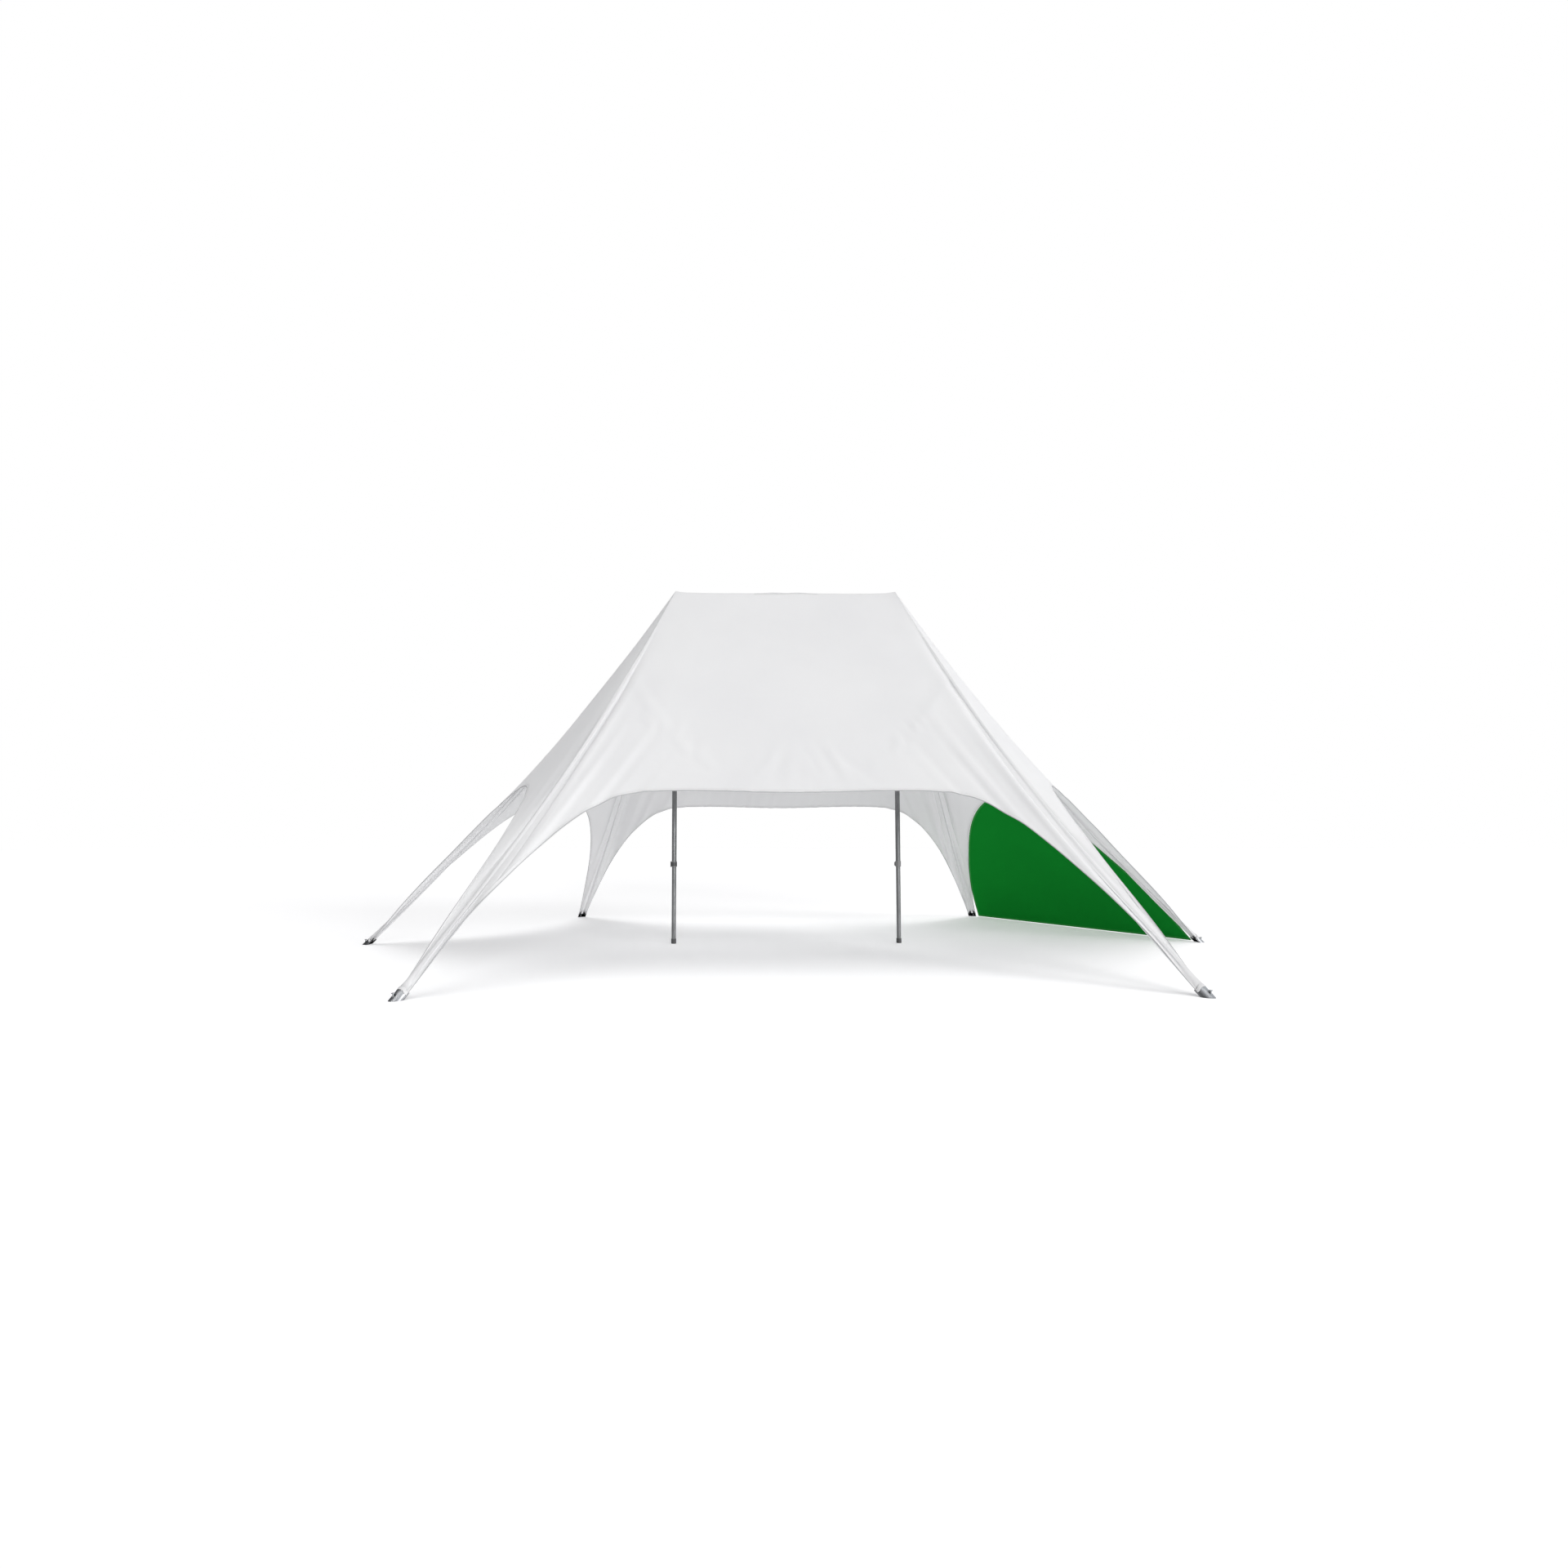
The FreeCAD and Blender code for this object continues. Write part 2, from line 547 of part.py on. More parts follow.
# ---------------------------------------------------------------- side wall
def wall_edge(gap):
    """The curve that keeps a gap to the side arch within the arch's plane, down to the wall's corners."""
    arch = []
    for sideways, up in SIDE_ARCH:
        arch.append(V((SIDE_PLANE_HEIGHT - up) / SIDE_PLANE_SLOPE, sideways, up) * PEAK_HEIGHT)
    arch_line = Part.BSplineCurve()
    arch_line.interpolate([V(p.x, -p.y, p.z) for p in reversed(arch[1:])] + arch)
    inset = []
    for point in arch:
        forward = arch_line.tangent(arch_line.parameter(point))[0]
        inset.append(point - WALL_OUTWARD.cross(forward).normalize() * gap)
    foot_x = (SIDE_PLANE_HEIGHT * PEAK_HEIGHT - WALL_FOOT) / SIDE_PLANE_SLOPE
    inset.append(V(foot_x, WALL_CORNER + WALL_GAP - gap, WALL_FOOT))
    mirrored = [V(p.x, -p.y, p.z) for p in reversed(inset[1:])]
    curve = Part.BSplineCurve()
    curve.interpolate(mirrored + inset)
    return curve


def wall_panel():
    curve = wall_edge(WALL_GAP)
    bottom = Part.makeLine(curve.EndPoint, curve.StartPoint)
    face = Part.Face(Part.Wire([curve.toShape(), bottom]))
    return face.extrude(WALL_OUTWARD * -CLOTH)


def wall_zip():
    """The closed zip between wall and arch, in the gap beside the wall's curved edge."""
    return rope(wall_edge(WALL_ZIP_GAP).toShape(), WALL_ZIP_RADIUS)


def wall_rope():
    """The rope in the wall's bottom hem."""
    curve = wall_edge(WALL_GAP)
    start = curve.StartPoint + WALL_OUTWARD * (WALL_ROPE_RADIUS + WALL_ROPE_CLEARANCE)
    length = (curve.EndPoint - curve.StartPoint).Length
    return Part.makeCylinder(WALL_ROPE_RADIUS, length, start, V(0, 1, 0))


# ---------------------------------------------------------------- build
def build_canopy():
    side, side_rope = side_panel_and_rope()
    front, front_rope = front_panel_and_rope()
    ropes = []
    for name, (pole_x, angle) in SIDES.items():
        write(name + "_panel", placed(side, pole_x, angle))
        ropes.append(placed(side_rope, pole_x, angle))
    for name, angle in (("front", -90.0), ("back", 90.0)):
        write(name + "_panel", placed(front, 0, angle))
        ropes.append(placed(front_rope, 0, angle))
    write("hem_ropes", Part.makeCompound(ropes))
    write("ridge_belt", ridge_belt())


def build_legs():
    makers = {"belt": leg_belt(), "foot_shell": foot_shell(), "foot_plate": foot_plate(), "peg": peg()}
    for leg, (pole_x, angle) in LEGS.items():
        for piece, shape in makers.items():
            write(leg + "_" + piece, placed(shape, pole_x, angle))
    bar = foot_bar()
    write("foot_bars", Part.makeCompound([placed(bar, x, angle) for x, angle in LEGS.values()]))


def build_poles():
    makers = {
        "lower_tube": lower_tube(),
        "middle_tube": middle_tube(),
        "upper_tube": upper_tube(),
        "spigot": spigot(),
        "collar": collar(),
        "lever": lever(),
        "lever_pin": lever_pin(),
        "ferrule": ferrule(),
        "pole_head": pole_head(),
        "peak_cap": peak_cap(),
    }
    for side, (pole_x, angle) in POLES.items():
        for piece, shape in makers.items():
            write(side + "_" + piece, placed(shape, pole_x, angle))


def build_wall():
    pole_x, angle = SIDES["right_back"]
    write("side_wall", placed(wall_panel(), pole_x, angle))
    write("side_wall_rope", placed(wall_rope(), pole_x, angle))
    write("side_wall_zip", placed(wall_zip(), pole_x, angle))


os.makedirs("parts", exist_ok=True)
build_canopy()
build_legs()
build_poles()
build_wall()
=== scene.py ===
"""The looks of a double star tent: a taut stitched canopy, two poles, metal feet and one side wall."""

import math

import bmesh
import bpy
import numpy as np
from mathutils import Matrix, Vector


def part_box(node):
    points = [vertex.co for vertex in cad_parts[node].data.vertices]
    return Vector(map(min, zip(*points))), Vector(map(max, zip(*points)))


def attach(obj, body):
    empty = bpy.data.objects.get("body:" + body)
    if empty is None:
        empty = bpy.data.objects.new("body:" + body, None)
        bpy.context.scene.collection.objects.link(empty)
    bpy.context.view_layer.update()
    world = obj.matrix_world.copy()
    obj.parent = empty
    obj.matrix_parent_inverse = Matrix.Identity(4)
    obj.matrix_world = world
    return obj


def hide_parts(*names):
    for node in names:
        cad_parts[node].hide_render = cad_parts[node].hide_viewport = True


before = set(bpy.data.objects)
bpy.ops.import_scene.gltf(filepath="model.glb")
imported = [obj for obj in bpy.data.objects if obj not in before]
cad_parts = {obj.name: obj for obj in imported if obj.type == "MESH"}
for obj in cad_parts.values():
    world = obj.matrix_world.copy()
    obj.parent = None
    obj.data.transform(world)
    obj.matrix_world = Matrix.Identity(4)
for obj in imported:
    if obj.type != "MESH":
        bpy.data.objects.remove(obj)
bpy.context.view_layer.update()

# ---- sizes, in metres, and angles in radians
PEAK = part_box("left_peak_cap")[1].z
POLE_X = (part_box("right_upper_tube")[0].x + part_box("right_upper_tube")[1].x) / 2
LEG_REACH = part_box("mid_right_foot_shell")[1].x - POLE_X
HALF_SPREAD = math.radians(30)  # half the angle between two neighbouring legs
FOOT_SLOPE = math.radians(43.5)
RIDGE_DROP = 0.032  # how far the ridge lies below the peaks
RIDGE_FALL = 0.13  # how quickly it gets there
RIDGE_BUMP = 0.012
RIDGE_BUMP_PLACE = 0.18
RIDGE_BUMP_WIDTH = 0.16

# Half outlines of the arches as (sideways, height) in parts of the peak height, from the middle to the foot.
# An arch lies in a plane: distance from the pole line = (plane height - height) / plane slope.
FRONT_ARCH = ((0.0, 0.396), (0.294, 0.400), (0.393, 0.388), (0.467, 0.349), (0.590, 0.222), (0.679, 0.087))
FRONT_PLANE = (1.15, 0.868)
SIDE_ARCH = ((0.0, 0.425), (0.139, 0.3765), (0.216, 0.309), (0.273, 0.239), (0.365, 0.092))
SIDE_PLANE = (1.303, 0.965)

CLOTH = 0.002
MERGE_GAP = 0.0006  # points of neighbouring panels closer than this become one
CREASE_ANGLE = math.radians(40)  # canopy folds sharper than this stay crisp
EDGE_ANGLE = math.radians(35)  # the same on all other pieces
CUFF_START = 0.150  # along the foot's crown, from its tip
CUFF_RADIUS = 0.0785
CUFF_TURN = math.radians(75)
CUFF_TONGUE = 0.022  # how far the cuff's two tongues reach beyond its edge
HEM_WIDTH = 0.036
HEM_STITCHES = (0.016, 0.031)  # the hem's two rows of stitches, from its edge
CUFF_STITCHES = (0.006, 0.024)
SEAM_WIDTH = 0.012  # half of the flat seam down a leg's fold
SEAM_STITCHES = (0.003, 0.009)
STITCH = 0.0075  # from one stitch to the next
STITCH_SHARE = 0.36  # half of a stitch, in parts of that
THREAD = 0.0011  # half of a stitch's width
BELT_WIDTH = 0.036
BELT_DEPTH = 0.016
BELT_CLEARANCE = 0.005
BELT_START = 0.062
BELT_LOOP = 0.0075  # radius of the webbing's loop round the bar in the foot
FOOT_BAR_PLACE = 0.130
FOOT_BAR_DEPTH = 0.024
WALL_GAP = 0.019
WALL_ZIP_GAP = 0.0145
WALL_FOOT = 0.015
WALL_CORNER = 2.150
WALL_COLUMNS = 96
WALL_ROWS = 44
WALL_BILLOW = 0.010

ROWS = 64  # of the canopy's grid, from the top down to the arches
CUFF_COLUMNS = 5  # columns on each half of a cuff
FRONT_COLUMNS = 210  # columns along a long arch
SIDE_COLUMNS = 46  # columns along a short arch
CURVE_STEPS = 60  # points between two given points of a smooth curve
TAUT_ROUNDS = 2
TAUT_STEPS = 400
TAUT_REST = 1e-14  # the pull left over when a membrane counts as balanced
TAUT_REACH = 0.15  # how far a panel may move from its first shape

FRONT_STREAKS = 0.0074  # heights of the folds beside the legs
BACK_STREAKS = 0.0075
SIDE_STREAKS = 0.0018
BACK_WAVES = 0.0042  # height of the upright folds of the back panel
HEM_FAN_FOLDS = 15
HEM_FAN_GAP = 0.135
SLANTING_FOLDS = 9  # on each side of the front panel
SHOULDER = 0.27  # place of the shoulder folds, in parts of the way down the leg
FOLD_SEED = 11

LEGS = {
    "front_left": (-POLE_X, -4 * HALF_SPREAD),
    "mid_left": (-POLE_X, 6 * HALF_SPREAD),
    "back_left": (-POLE_X, 4 * HALF_SPREAD),
    "front_right": (POLE_X, -2 * HALF_SPREAD),
    "mid_right": (POLE_X, 0.0),
    "back_right": (POLE_X, 2 * HALF_SPREAD),
}
SIDES = {
    "left_front": (-POLE_X, -5 * HALF_SPREAD),
    "left_back": (-POLE_X, 5 * HALF_SPREAD),
    "right_front": (POLE_X, -HALF_SPREAD),
    "right_back": (POLE_X, HALF_SPREAD),
}
UP = np.array([0.0, 0.0, 1.0])
MIRROR = np.array([1.0, -1.0, 1.0])


# ---- small geometry helpers
def unit(vectors):
    return vectors / np.maximum(np.linalg.norm(vectors, axis=-1, keepdims=True), 1e-12)


def spun(points, angle):
    """Points turned about the vertical through the origin."""
    c, s = math.cos(angle), math.sin(angle)
    return np.asarray(points) @ np.array([[c, s, 0.0], [-s, c, 0.0], [0.0, 0.0, 1.0]])


def placed(points, pole_x, angle):
    """Points built round a pole at the origin, turned and moved to their own pole."""
    return spun(points, angle) + np.array([pole_x, 0.0, 0.0])


def ease(x, start, end):
    """0 before start, 1 after end, smooth between."""
    t = np.clip((x - start) / (end - start), 0.0, 1.0)
    return t * t * (3 - 2 * t)


def crown(along, depth=0.0):
    """A point under the outer line of a foot: along it from the tip, and inwards from it."""
    c, s = math.cos(FOOT_SLOPE), math.sin(FOOT_SLOPE)
    return np.array([LEG_REACH - along * c - depth * s, 0.0, along * s - depth * c])


FOOT_AXIS = np.array([-math.cos(FOOT_SLOPE), 0.0, math.sin(FOOT_SLOPE)])
FOOT_OUTWARD = np.array([math.sin(FOOT_SLOPE), 0.0, math.cos(FOOT_SLOPE)])
APEX = np.array([0.0, 0.0, PEAK])


def leg_sag():
    """How far the leg's middle hangs inside the straight line, so that it meets its foot in line."""
    half = (crown(CUFF_START) - APEX) / 2
    inward = unit(np.array([half[2], 0.0, -half[0]]))
    across = half[2] * FOOT_AXIS[0] - half[0] * FOOT_AXIS[2]
    return inward * across / (2 * (inward[2] * FOOT_AXIS[0] - inward[0] * FOOT_AXIS[2]))


LEG_SAG = leg_sag()


def sagging(top, bottom, sag, t):
    """Points at t (0 to 1) of a slack line from top to bottom."""
    t = np.asarray(t)[:, None]
    middle = (top + bottom) / 2 + 2 * sag
    return (1 - t) ** 2 * top + 2 * t * (1 - t) * middle + t ** 2 * bottom


def smooth_curve(points, start_pull, end_pull, count):
    """Evenly spaced points of a smooth curve through the given points, with given end directions."""
    points = np.asarray(points)
    gaps = np.linalg.norm(np.diff(points, axis=0), axis=1)
    last = len(points) - 1
    matrix, right = np.eye(last + 1), np.zeros_like(points)
    right[0], right[last] = start_pull, end_pull
    for i in range(1, last):
        before, after = gaps[i - 1], gaps[i]
        matrix[i, i - 1:i + 2] = after, 2 * (before + after), before
        slope_before = (points[i] - points[i - 1]) / before
        slope_after = (points[i + 1] - points[i]) / after
        right[i] = 3 * (before * slope_after + after * slope_before)
    pulls = np.linalg.solve(matrix, right)
    fine = []
    for i in range(last):
        t = np.linspace(0, 1, CURVE_STEPS, endpoint=False)[:, None]
        fine.append(
            (2 * t ** 3 - 3 * t ** 2 + 1) * points[i]
            + (t ** 3 - 2 * t ** 2 + t) * gaps[i] * pulls[i]
            + (3 * t ** 2 - 2 * t ** 3) * points[i + 1]
            + (t ** 3 - t ** 2) * gaps[i] * pulls[i + 1]
        )
    return resampled(np.vstack(fine + [points[-1:]]), count)


def resampled(path, count):
    """Evenly spaced points along a polyline."""
    run = run_length(path)
    wanted = np.linspace(0, run[-1], count)
    return np.stack([np.interp(wanted, run, path[:, axis]) for axis in range(3)], axis=1)


def run_length(path):
    return np.concatenate([[0.0], np.cumsum(np.linalg.norm(np.diff(path, axis=0), axis=1))])


def tangents(path):
    return unit(np.gradient(path, axis=0))


# ---- the canopy's form
def round_foot(turn):
    """The outward direction of the round foot at a turn from its crown, in the leg's own frame."""
    return FOOT_OUTWARD * math.cos(turn) + np.array([0.0, math.sin(turn), 0.0])


def cuff_edge(turn):
    """A point of the cuff's edge, which reaches lower in a tongue on each flank."""
    tongue = CUFF_TONGUE * float(ease(abs(turn) / CUFF_TURN, 0.35, 0.85))
    return crown(CUFF_START - tongue, CUFF_RADIUS) + CUFF_RADIUS * round_foot(turn)


def plane_points(outline, plane):
    """The points of a whole arch, from its left foot to its right one, from its half outline."""
    slope, height = plane
    half = np.array([((height - up) / slope, sideways, up) for sideways, up in outline]) * PEAK
    return np.vstack([half[:0:-1] * MIRROR, half])


def arch_line(outline, plane, start, end, pulls, count):
    """The smooth line of an arch from cuff to cuff; it leaves each cuff along the leg."""
    through = np.vstack([start, plane_points(outline, plane), end])
    return smooth_curve(through, pulls[0], -pulls[1], count)


def rim(leg_a, leg_b, outline, plane, arch_columns):
    """The lower rim of a panel: half a cuff, the arch and half the next cuff."""
    turns = np.linspace(0, CUFF_TURN, CUFF_COLUMNS + 1)
    cuff_a = np.array([leg_a(cuff_edge(turn)) for turn in turns])
    cuff_b = np.array([leg_b(cuff_edge(-turn)) for turn in turns])
    pulls = [leg(FOOT_AXIS) - leg(np.zeros(3)) for leg in (leg_a, leg_b)]
    arch = arch_line(outline, plane, cuff_a[-1], cuff_b[-1], pulls, arch_columns + 1)
    return np.vstack([cuff_a[:-1], arch, cuff_b[-2::-1]])


def crease(leg):
    """The fold of a leg from its peak down to its cuff."""
    line = sagging(APEX, crown(CUFF_START), LEG_SAG, np.linspace(0, 1, ROWS + 1))
    return leg(line)


def first_shape(tops, bottoms, creases, middle_inward):
    """A panel's grid before it is pulled taut: one slack line down each column."""
    columns = len(bottoms) - 1
    slack = np.linalg.norm(LEG_SAG)
    t = np.linspace(0, 1, ROWS + 1)
    chord_middle = [(line[0] + line[-1]) / 2 for line in creases]
    leg_inward = [unit(line[ROWS // 2] - middle) for line, middle in zip(creases, chord_middle)]
    grid = np.zeros((ROWS + 1, columns + 1, 3))
    low = creases[0][-1][2]
    for j in range(columns + 1):
        share = j / columns
        near_leg = abs(2 * share - 1) ** 2
        toward = leg_inward[0] if share < 0.5 else leg_inward[1]
        inward = unit(toward * near_leg + middle_inward * (1 - near_leg))
        reach = (PEAK - bottoms[j][2]) / (PEAK - low)
        grid[:, j] = sagging(tops[j], bottoms[j], inward * slack * min(reach, 1.0) ** 2, t)
    grid[:, 0], grid[:, -1] = creases
    return grid


def normals_of(grid):
    """Outward normals of a grid whose columns run left to right seen from outside and rows run down."""
    across = np.gradient(grid, axis=1)
    down = np.gradient(grid, axis=0)
    return unit(np.cross(down, across))


def taut(grid):
    """The grid moved along its normals to where a membrane stretched over the same rim would lie."""
    start, normal = grid.copy(), normals_of(grid)
    for _ in range(TAUT_ROUNDS):
        length_u = np.maximum(np.linalg.norm(np.diff(grid, axis=1), axis=2), 1e-4)
        length_v = np.maximum(np.linalg.norm(np.diff(grid, axis=0), axis=2), 1e-4)
        wide_u = np.pad(length_u, ((0, 0), (1, 1)), mode="edge")
        wide_v = np.pad(length_v, ((1, 1), (0, 0)), mode="edge")
        room_u, room_v = (wide_u[:, 1:] + wide_u[:, :-1]) / 2, (wide_v[1:] + wide_v[:-1]) / 2
        pull_u = (room_v[:, 1:] + room_v[:, :-1]) / 2 / length_u
        pull_v = (room_u[1:] + room_u[:-1]) / 2 / length_v
        relaxed = membrane(grid, pull_u, pull_v)
        offset = np.sum((relaxed - start) * normal, axis=2, keepdims=True)
        grid = start + normal * np.clip(offset, -TAUT_REACH, TAUT_REACH)
    return grid


def membrane(grid, pull_u, pull_v):
    """Inner points balanced between their neighbours, by conjugate gradients; the rim stays."""
    def balance(x):
        out = np.zeros_like(x)
        flow_u, flow_v = pull_u[..., None] * np.diff(x, axis=1), pull_v[..., None] * np.diff(x, axis=0)
        out[:, :-1] -= flow_u
        out[:, 1:] += flow_u
        out[:-1] -= flow_v
        out[1:] += flow_v
        out[[0, -1]] = 0
        out[:, [0, -1]] = 0
        return out

    weight = np.zeros(grid.shape[:2])
    weight[:, :-1] += pull_u
    weight[:, 1:] += pull_u
    weight[:-1] += pull_v
    weight[1:] += pull_v
    weight = weight[..., None]
    x = grid.copy()
    residual = -balance(x)
    step = residual / weight
    energy = np.sum(residual * step)
    for _ in range(TAUT_STEPS):
        image = balance(step)
        size = energy / np.sum(step * image)
        x += size * step
        residual -= size * image
        scaled = residual / weight
        fresh = np.sum(residual * scaled)
        if fresh < TAUT_REST:
            break
        step = scaled + step * (fresh / energy)
        energy = fresh
    return x


def panel_grid(leg_a, leg_b, facing, outline, plane, columns, top_line):
    """A taut panel between two legs; facing is its direction from +X and top_line gives its upper edge."""
    from_x = (lambda points: spun(leg_a(points), -facing), lambda points: spun(leg_b(points), -facing))
    bottoms = spun(rim(*from_x, outline, plane, columns), facing)
    inward = spun(unit(np.array([-plane[0], 0.0, -1.0])), facing)
    tops = top_line(np.linspace(0, 1, len(bottoms)))
    return taut(first_shape(tops, bottoms, (crease(leg_a), crease(leg_b)), inward))


def at_leg(name):
    return lambda points: placed(points, *LEGS[name])


def side_grid():
    """The panel between two legs of one pole, facing +X."""
    legs = (lambda points: spun(points, -HALF_SPREAD), lambda points: spun(points, HALF_SPREAD))
    return panel_grid(*legs, 0.0, SIDE_ARCH, SIDE_PLANE, SIDE_COLUMNS, peak_point)


def front_grid():
    """The panel below the ridge, facing -Y."""
    legs = at_leg("front_left"), at_leg("front_right")
    return panel_grid(*legs, -math.pi / 2, FRONT_ARCH, FRONT_PLANE, FRONT_COLUMNS, ridge_line)


def peak_point(share):
    """The upper edge of a side panel is the peak alone."""
    return np.tile(APEX, (len(share), 1))


def ridge_line(share):
    """Points of the ridge, closer together towards the peaks."""
    x = POLE_X * np.sin(math.pi * (share - 0.5))
    return np.stack([x, np.zeros_like(x), ridge_height(x)], axis=1)


def ridge_height(x):
    """The ridge dips a little inside each peak and rises slightly near its middle."""
    from_peak = POLE_X - np.abs(x)
    bump = RIDGE_BUMP * np.exp(-((x - RIDGE_BUMP_PLACE) / RIDGE_BUMP_WIDTH) ** 2)
    return PEAK - RIDGE_DROP * (1 - np.exp(-from_peak / RIDGE_FALL)) + bump


# ---- folds in the cloth
def nearest_run(points, path):
    """Distance of each point to a path, and how far along the path it lies."""
    flat = points.reshape(-1, 3)
    run = run_length(path)
    best = np.full(len(flat), 1e9)
    place = np.zeros(len(flat))
    for i in range(len(path) - 1):
        a, d = path[i], path[i + 1] - path[i]
        t = np.clip((flat - a) @ d / max(d @ d, 1e-12), 0, 1)
        distance = np.linalg.norm(flat - a - t[:, None] * d, axis=1)
        closer = distance < best
        best[closer] = distance[closer]
        place[closer] = (run[i] + t * (run[i + 1] - run[i]))[closer]
    return best.reshape(points.shape[:2]), place.reshape(points.shape[:2])


def leg_streaks(grid, column, phase, height):
    """Broad soft folds that run down a leg beside its crease, tighter towards the foot."""
    from_crease, down = nearest_run(grid, grid[:, column])
    up_leg = run_length(grid[:, column])[-1] - down
    wavelength = 0.085 + 0.052 * up_leg
    turn = 2 * math.pi * from_crease / wavelength
    wave = np.sin(turn + phase) + 0.45 * np.sin(1.63 * turn + 2.1 * phase + 0.6 * up_leg)
    lengthways = ease(up_leg, 0.15, 1.1) * (1 - ease(up_leg, 2.9, 4.9))
    sideways = ease(from_crease, 0.0, 0.10) * (1 - ease(from_crease, 0.75, 1.45))
    return height * wavelength / 0.2 * wave * lengthways * sideways


def wrinkle(points, start, end, width, height):
    """One thin ridge in a panel that faces the front, from start to end, tapering at both ends."""
    line = (np.asarray(end) - start)[[0, 2]]
    offset = (points - start)[..., [0, 2]]
    t = offset @ line / (line @ line)
    aside = np.linalg.norm(offset - t[..., None] * line, axis=-1)
    profile = np.exp(-(aside / width) ** 2) - 0.5 * np.exp(-(aside / (2 * width)) ** 2)
    return height * profile * ease(t, -0.1, 0.25) * (1 - ease(t, 0.55, 1.1))


def shoulder_folds(grid, side, shoulder):
    """Three folds that run inwards and down from a shoulder of the front panel."""
    total = 0
    for step in range(3):
        begin = shoulder + np.array([-side * 0.10, 0.0, -0.22]) * step
        finish = begin + np.array([-side * (0.42 + 0.1 * step), 0.0, -0.62])
        total = total + wrinkle(grid, begin, finish, 0.065, 0.015 - 0.002 * step)
    return total


def hem_fan(grid, hem_middle, rng):
    """A fan of folds that rise from the middle of the front panel's hem."""
    total = 0
    for k in range(HEM_FAN_FOLDS):
        aside = (k - HEM_FAN_FOLDS // 2) * HEM_FAN_GAP + rng.uniform(-0.03, 0.03)
        begin = hem_middle + np.array([aside + 0.1, 0.0, -0.02])
        rise = rng.uniform(0.45, 0.85)
        lean = -0.55 * aside + rng.uniform(-0.10, 0.10)
        finish = begin + np.array([lean, 0.0, rise])
        total = total + wrinkle(grid, begin, finish, rng.uniform(0.060, 0.085), rng.uniform(0.016, 0.026))
    return total


def slanting_folds(grid, side, hem_middle, rng):
    """Short folds one above the other along the line from the hem's middle to a shoulder."""
    total = 0
    for k in range(SLANTING_FOLDS):
        begin = hem_middle + np.array([side * (1.0 + 0.10 * k), 0.0, 0.28 + 0.075 * k])
        finish = begin + np.array([side * (0.02 + rng.uniform(-0.25, 0.25)), 0.0, 0.26])
        total = total + wrinkle(grid, begin, finish, 0.060, rng.uniform(0.013, 0.021))
    return total


def front_folds(grid):
    """Folds of the front panel: streaks by the legs, short folds and a fan above the middle of the hem."""
    rng = np.random.default_rng(FOLD_SEED)
    hem_middle = grid[-1, grid.shape[1] // 2]
    total = np.zeros(grid.shape[:2])
    for side, column in ((-1, 0), (1, -1)):
        total += leg_streaks(grid, column, 0.7 + side, FRONT_STREAKS)
        total += shoulder_folds(grid, side, grid[int(ROWS * SHOULDER), column])
    total += hem_fan(grid, hem_middle, rng)
    for side in (-1, 1):
        total += slanting_folds(grid, side, hem_middle, rng)
    return total


def back_folds(grid):
    """Folds of the back panel: upright ones that lean to one side above the hem, and streaks in the legs."""
    total = np.zeros(grid.shape[:2])
    for side, column in ((-1, 0), (1, -1)):
        total += leg_streaks(grid, column, 1.9 + side, BACK_STREAKS)
    x, z = grid[..., 0], grid[..., 2]
    lean = x - 0.32 * z
    wave = np.sin(lean * 31) + 0.7 * np.sin(lean * 47 + 1.3) + 0.4 * np.sin(lean * 79 + 0.4)
    crowd = 0.45 + 0.55 * np.exp(-((x - 0.9) / 0.5) ** 2) + 0.55 * np.exp(-((x + 0.4) / 0.45) ** 2)
    fade = 1 - ease(z, 2.5, 4.2)
    edge = 1 - ease(np.abs(x), 1.7, 2.8)
    return total + BACK_WAVES * wave * crowd * fade * edge


def side_folds(grid, seed):
    """Faint folds of a short panel, along its two legs."""
    total = np.zeros(grid.shape[:2])
    for column in (0, -1):
        total += leg_streaks(grid, column, seed + column, SIDE_STREAKS)
    return total


def folded(grid, height):
    """The grid with its folds; the creases, the top and the cuffs stay where they are."""
    rows, columns = grid.shape[:2]
    row = np.linspace(0, 1, rows)[:, None]
    column = np.arange(columns)[None, :]
    from_leg = np.minimum(column, columns - 1 - column)
    from_cuff = np.maximum(1 - row, (from_leg - CUFF_COLUMNS) / 14)
    hold = ease(row, 0.0, 0.12) * ease(from_leg, 0, 3) * ease(from_cuff, 0.0, 0.25)
    return grid + normals_of(grid) * (height * hold)[..., None]


def canopy_grids():
    """Every panel's grid in its own place: rows run down and columns left to right seen from outside."""
    side, front = side_grid(), front_grid()
    grids = {"front": folded(front, front_folds(front))}
    back = spun(front, math.pi)
    grids["back"] = folded(back, back_folds(back))
    for seed, (name, (pole_x, angle)) in enumerate(SIDES.items()):
        grid = placed(side, pole_x, angle)
        grids[name] = folded(grid, side_folds(grid, 1.0 + 1.7 * seed))
    return grids


# ---- meshes
def new_object(name, mesh, body, material):
    piece = bpy.data.objects.new(name, mesh)
    bpy.context.scene.collection.objects.link(piece)
    mesh.materials.append(material)
    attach(piece, body)
    return piece


def grid_faces(rows, columns, first=0, closed=False):
    """Quads of a grid of points stored row by row."""
    faces = []
    steps = columns if closed else columns - 1
    for i in range(rows - 1):
        for j in range(steps):
            a, b = first + i * columns + j, first + i * columns + (j + 1) % columns
            faces.append((a, a + columns, b + columns, b))
    return faces


def smooth(mesh, sharp_angle=EDGE_ANGLE):
    mesh.polygons.foreach_set("use_smooth", [True] * len(mesh.polygons))
    mesh.set_sharp_from_angle(angle=sharp_angle)


